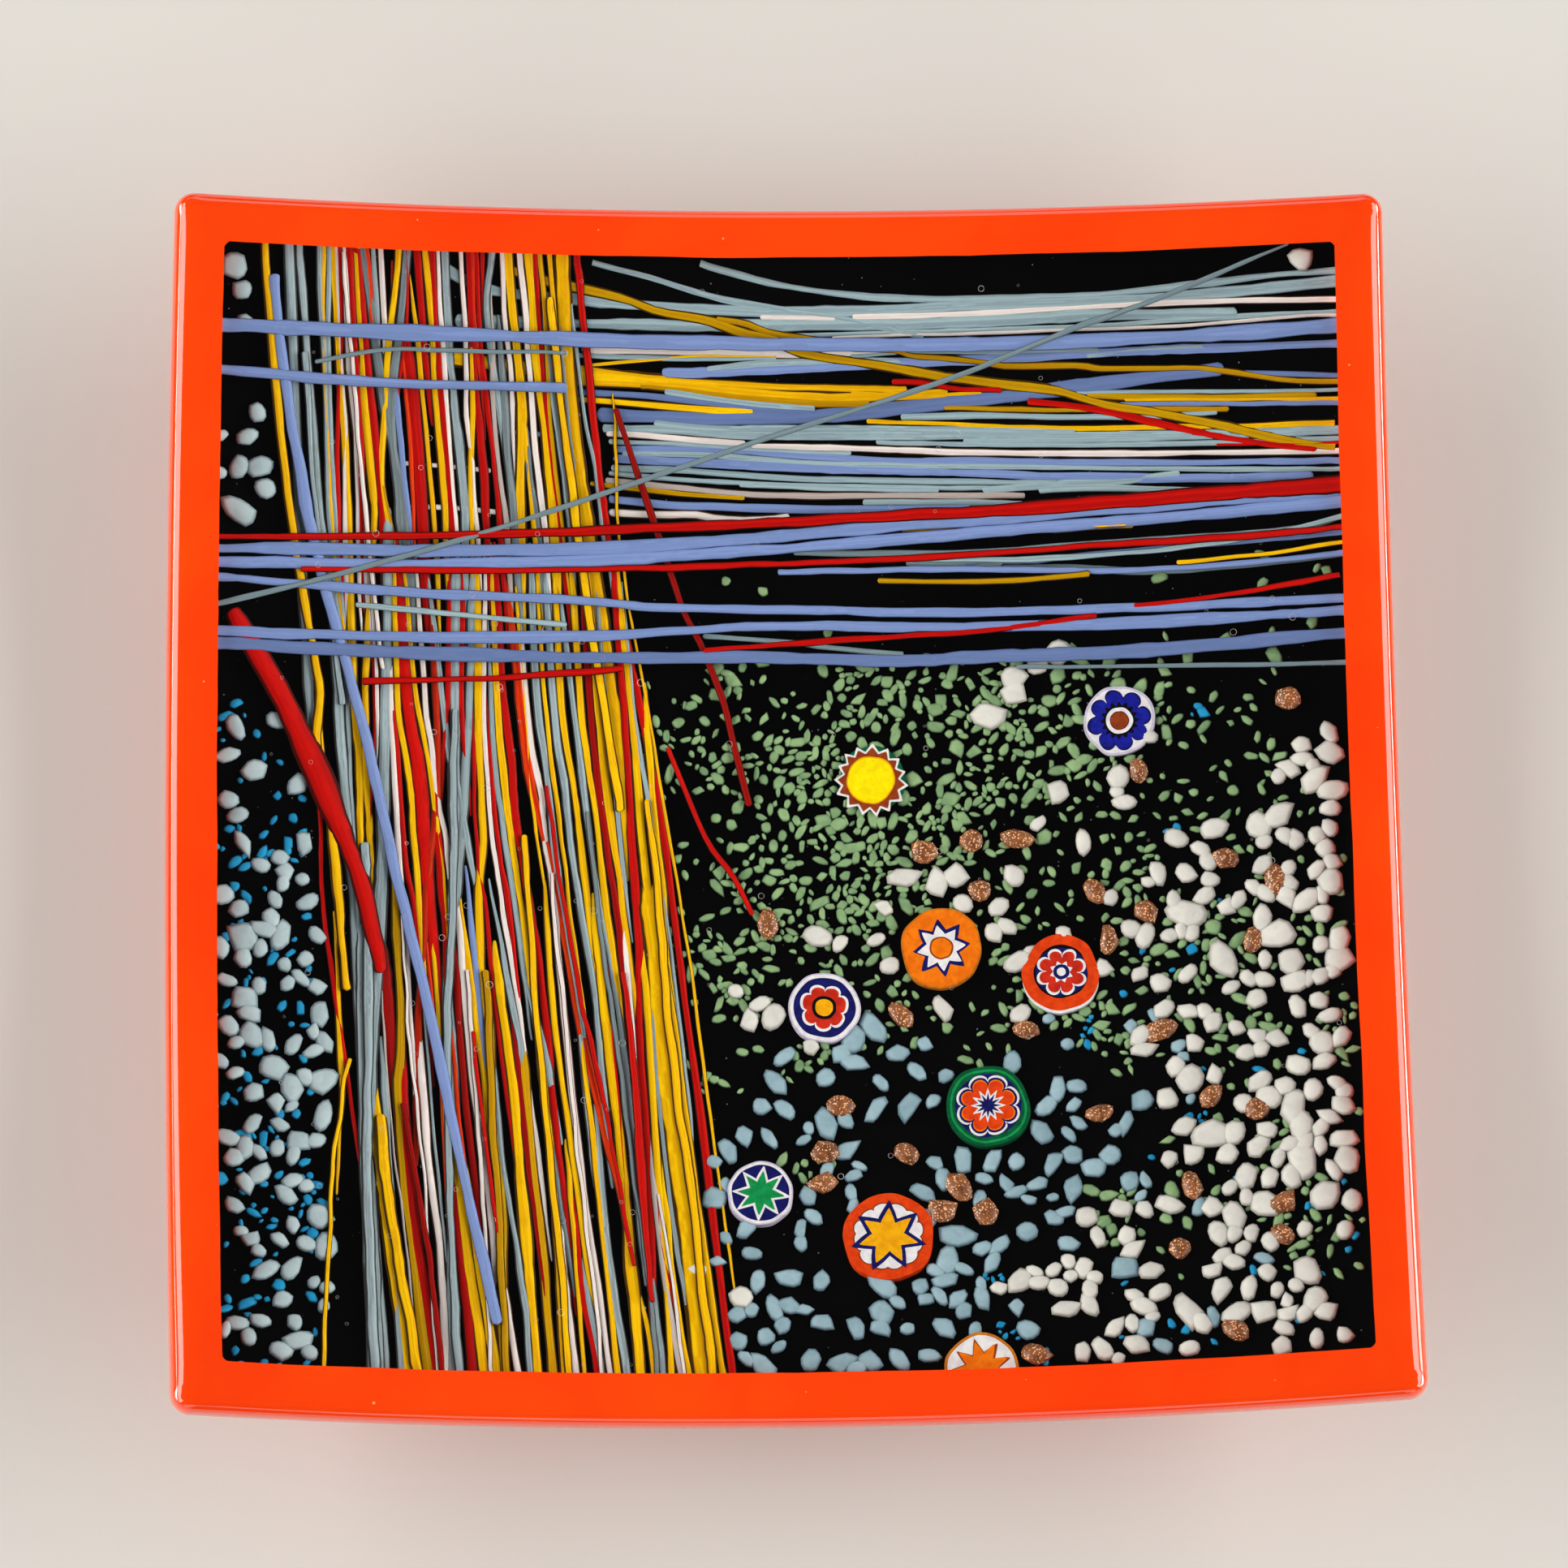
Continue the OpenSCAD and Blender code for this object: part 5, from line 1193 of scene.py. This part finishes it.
# Each slice from the bottom up
slicePatterns = {
    "slice_blue_flower": [
        disc("lilac", 1), disc("white", 0.93), petals("navy", 8, 0.6, 0.9), petals("blue", 8, 0.55, 0.84),
        star("black", 16, 0.42, 0.56), disc("white", 0.38), disc("black", 0.27), disc("rust", 0.25),
    ],
    "slice_yellow_sun": [
        disc("deepGreen", 0.94, 0.07), star("white", 15, 0.84, 1.06), star("rust", 15, 0.77, 0.95),
        disc("gold", 0.7), disc("yellow", 0.66),
    ],
    "slice_orange_star": [
        disc("amber", 1), disc("orange", 0.96), star("navy", 8, 0.46, 0.74), star("white", 8, 0.37, 0.6),
        disc("rust", 0.29), disc("orange", 0.25),
    ],
    "slice_red_flower": [
        disc("white", 0.95, -0.06), disc("redOrange", 0.97, 0.03), disc("black", 0.68, 0.06),
        disc("navy", 0.64, 0.06), petals("white", 8, 0.44, 0.64, 0.06), petals("red", 8, 0.36, 0.57, 0.06),
        star("white", 8, 0.2, 0.3, 0.06), disc("navy", 0.2, 0.06), disc("white", 0.11, 0.06),
    ],
    "slice_navy_flower": [
        disc("lilac", 1), disc("white", 0.96), disc("navy", 0.86), petals("white", 7, 0.52, 0.7),
        petals("red", 7, 0.45, 0.62), disc("black", 0.34), disc("gold", 0.25),
    ],
    "slice_green_ring": [
        disc("deepGreen", 1), disc("green", 0.92), disc("deepGreen", 0.86), disc("navy", 0.8),
        petals("white", 8, 0.62, 0.79), petals("navy", 8, 0.56, 0.73), petals("orange", 8, 0.44, 0.68),
        petals("redOrange", 8, 0.4, 0.64), star("white", 12, 0.24, 0.44), star("navy", 12, 0.14, 0.32),
    ],
    "slice_green_star": [
        disc("lilac", 1), disc("white", 0.96), disc("navy", 0.88), star("white", 8, 0.46, 0.9),
        star("green", 8, 0.35, 0.72),
    ],
    "slice_yellow_star": [
        disc("redOrange", 1), petals("rust", 12, 0.72, 0.8), petals("white", 12, 0.68, 0.77),
        star("navy", 7, 0.46, 0.84), star("gold", 7, 0.35, 0.66),
    ],
    "slice_amber_star": [
        disc("amber", 1), disc("white", 0.92), star("rust", 9, 0.46, 0.86), star("orange", 9, 0.42, 0.78),
    ],
}
sliceShape = {
    "edges": 144, "rise": 0.03, "sunk": 3, "foot": -3.9, "top": -2.5, "wander": 0.035, "wanderOften": 1.6,
    "bend": 0.12, "petalRound": 0.45, "sharp": 30, "rimGap": 0.05,
}
# The border cuts this slice off
rimSlice = "slice_amber_star"


def outlineRadius(kind, count, inner, outer, angle):
    if kind == "disc":
        return outer
    phase = (angle * count / math.tau) % 1
    tooth = 1 - abs(2 * phase - 1)
    if kind == "star":
        return 1 / (1 / inner + (1 / outer - 1 / inner) * tooth)
    return inner + (outer - inner) * math.sin(phase * math.pi) ** sliceShape["petalRound"]


# Adds one flat shape; the sag keeps shapes of different sizes parallel once they are slumped
def addPlate(bm, materialIndex, shape, radius, centre, turn, low, high, seed):
    _, kind, count, inner, outer, shift = shape
    made = bmesh.ops.create_circle(bm, cap_ends=True, radius=1, segments=sliceShape["edges"])
    middle = centre + Vector((math.cos(turn), math.sin(turn), 0)) * shift * radius
    often = sliceShape["wanderOften"]
    for v in made["verts"]:
        angle = math.atan2(v.co.y, v.co.x)
        bend = noise.noise(Vector((math.cos(angle), math.sin(angle), seed + 4)))
        reach = outlineRadius(kind, count, inner, outer, angle + sliceShape["bend"] * bend)
        wander = noise.noise(Vector((math.cos(angle) * often, math.sin(angle) * often, seed)))
        reach *= radius * (1 + sliceShape["wander"] * 2 * wander)
        sag = reach * reach / (2 * dish["bowlRadius"])
        around = angle + turn
        v.co = Vector((middle.x + reach * math.cos(around), middle.y + reach * math.sin(around), low - sag))
    faces = list({f for v in made["verts"] for f in v.link_faces})
    lifted = extrudeBy(bm, faces, high - low, True)
    for v in made["verts"] + lifted:
        for f in v.link_faces:
            f.material_index = materialIndex


# Middle and radius of each slice, read from the size of its CAD node
def sliceSpots():
    spots = []
    for node in slicePatterns:
        low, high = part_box(node)
        level = (low.z + high.z) / 2
        corner, other = (unslump(Vector((p.x, p.y, level))) for p in (high, low))
        centre = (corner + other) / 2
        radius = (corner.x - other.x) / 2
        if node == rimSlice:
            centre.y = corner.y - radius
        spots.append((centre, radius, node))
    return spots


def buildSlices():
    for n, (centre, radius, node) in enumerate(sliceSpots()):
        pattern = slicePatterns[node]
        colors = list(dict.fromkeys(shape[0] for shape in pattern))
        bm = bmesh.new()
        turn = random.Random(n).uniform(0, math.tau)
        for k, shape in enumerate(pattern):
            high = sliceShape["top"] + sliceShape["rise"] * k
            low = sliceShape["foot"] if k == 0 else high - sliceShape["rise"] * sliceShape["sunk"]
            seed = n * 3 + (0 if k < 3 else 1)  # the lowest three waver alike, and so do the rest
            addPlate(bm, colors.index(shape[0]), shape, radius, centre, turn, low, high, seed)
        if node == rimSlice:
            cutAt(bm, (0, sliceShape["rimGap"] - panelHalf, 0), (0, -1, 0), clear=True)
        looks = [caneLooks[c] for c in colors]
        finishPiece(bm, pieceName(node), looks, [node], sharp=sliceShape["sharp"])


buildSlices()
print("cane slices made")
buildFrit()
print("frit made")


# Bubbles caught in the glass: fine rings, coloured light as a painted reflection off the bubble walls

bubbles = {
    "count": 170, "seed": 5, "small": 0.2, "large": 0.55, "thickness": 0.06, "depth": -1.2, "steps": 12,
    # Where they lie, x from and to, y from and to: by turns anywhere, and in the bundle
    "zones": ((-88, 88, -60, 89), (-76, -20, -89, 89)),
    # The rings' light colours are a painted reflection of the bubble walls
    "bright": (0.7, 0.66, 0.62), "deep": (0.25, 0.24, 0.24),
    "surface": {"Roughness": 0.3, "Specular IOR Level": 0.3},
}


def ringBlank():
    bm = bmesh.new()
    upright = Matrix.Rotation(math.pi / 2, 4, "X")
    bmesh.ops.create_circle(bm, cap_ends=False, radius=bubbles["thickness"], segments=4, matrix=upright)
    bmesh.ops.translate(bm, vec=(1, 0, 0), verts=bm.verts)
    bmesh.ops.spin(bm, geom=bm.verts[:] + bm.edges[:], axis=(0, 0, 1), cent=(0, 0, 0), steps=bubbles["steps"],
                   angle=math.tau, use_merge=True, use_duplicate=False)
    return blankMesh(bm, "ringBlank")


def buildBubbles():
    ring = ringBlank()
    bm = bmesh.new()
    rnd = random.Random(bubbles["seed"])
    for n in range(bubbles["count"]):
        size = bubbles["small"] + (bubbles["large"] - bubbles["small"]) * rnd.random() ** 2
        left, right, low, high = bubbles["zones"][n % 2]
        x, y = rnd.uniform(left, right), rnd.uniform(low, high)
        for v in addCopy(bm, ring):
            v.co = Vector((x + v.co.x * size, y + v.co.y * size, bubbles["depth"] + v.co.z * size))
    bpy.data.meshes.remove(ring)
    material, tree, shader = newMaterial("bubbleRimPaintedReflection", bubbles["surface"])
    haze = addMelt(tree, 900.0, 3000.0)
    # Painted reflection: the rings are coloured light in place of light off the bubble walls
    setColor(tree, shader, mixColor(tree, haze.outputs["Cloud"], bubbles["bright"], bubbles["deep"]))
    finishPiece(bm, "bubbles", [material], [])


buildBubbles()
print("bubbles made")


# Floor, lights and camera

studio = {
    "floorHalf": 6, "floor": {"Base Color": (0.6, 0.59, 0.57, 1), "Roughness": 0.8},
    "world": 0.05, "aim": (0, 0, 0.02),
    # Name, place, width, height, watts, colour, spread in degrees
    "lights": [
        ("highLeft", (-0.85, 0, 0.68), 1.6, 0.45, 9.0, (1.0, 0.98, 0.94), 180),
        ("stripLeft", (-0.55, 0, 0.16), 1.2, 0.08, 1.1, (1.0, 0.96, 0.88), 70),
        ("highRight", (0.85, 0, 0.68), 1.6, 0.45, 9.0, (1.0, 0.98, 0.94), 180),
        ("stripRight", (0.55, 0, 0.16), 1.2, 0.08, 1.1, (1.0, 0.96, 0.88), 70),
        ("softboxBack", (0, 1.2, 0.5), 1.4, 0.35, 1.5, (1, 1, 1), 180),
        ("softboxFront", (0, -1.2, 0.45), 1.4, 0.35, 1.5, (1, 1, 1), 180),
    ],
    # The camera's lens and axes, and its place in millimetres, with the height above the middle of the dish
    "sensor": 36, "lens": 128.2, "clip": 0.05, "camera": (-53.5, -165.0, 874.8),
    "right": (0.9982, -0.0172, 0.0582), "up": (0.0057, 0.9813, 0.1923), "back": (-0.0604, -0.1916, 0.9796),
}


def buildFloor():
    bm = bmesh.new()
    bmesh.ops.create_grid(bm, x_segments=1, y_segments=1, size=studio["floorHalf"])
    mesh = blankMesh(bm, "floor")
    floor = bpy.data.objects.new("floor", mesh)
    scene.collection.objects.link(floor)
    mesh.materials.append(newMaterial("floorPaper", studio["floor"])[0])


def areaLight(name, place, width, height, watts, color, spread):
    light = bpy.data.lights.new(name, "AREA")
    light.shape = "RECTANGLE"
    light.size, light.size_y = width, height
    light.energy = watts
    light.spread = math.radians(spread)
    light.color = color
    lamp = bpy.data.objects.new(name, light)
    scene.collection.objects.link(lamp)
    lamp.location = place
    lamp.visible_camera = False
    lamp.rotation_euler = (Vector(studio["aim"]) - Vector(place)).to_track_quat("-Z", "Y").to_euler()


def buildWorld():
    world = bpy.data.worlds.new("studio")
    scene.world = world
    world.use_nodes = True
    background = world.node_tree.nodes["Background"]
    background.inputs["Color"].default_value = (1, 1, 1, 1)
    background.inputs["Strength"].default_value = studio["world"]


def buildCamera():
    camera = bpy.data.cameras.new("camera")
    camera.sensor_width = studio["sensor"]
    camera.lens = studio["lens"]
    camera.clip_start = studio["clip"]
    holder = bpy.data.objects.new("camera", camera)
    scene.collection.objects.link(holder)
    turned = Matrix((studio["right"], studio["up"], studio["back"])).transposed()
    x, y, high = studio["camera"]
    place = Vector((x, y, high + (sphereZ - dish["bowlRadius"]))) * toMetres
    holder.matrix_world = Matrix.Translation(place) @ turned.to_4x4()
    scene.camera = holder


buildFloor()
for light in studio["lights"]:
    areaLight(*light)
buildWorld()
buildCamera()
print("studio made")
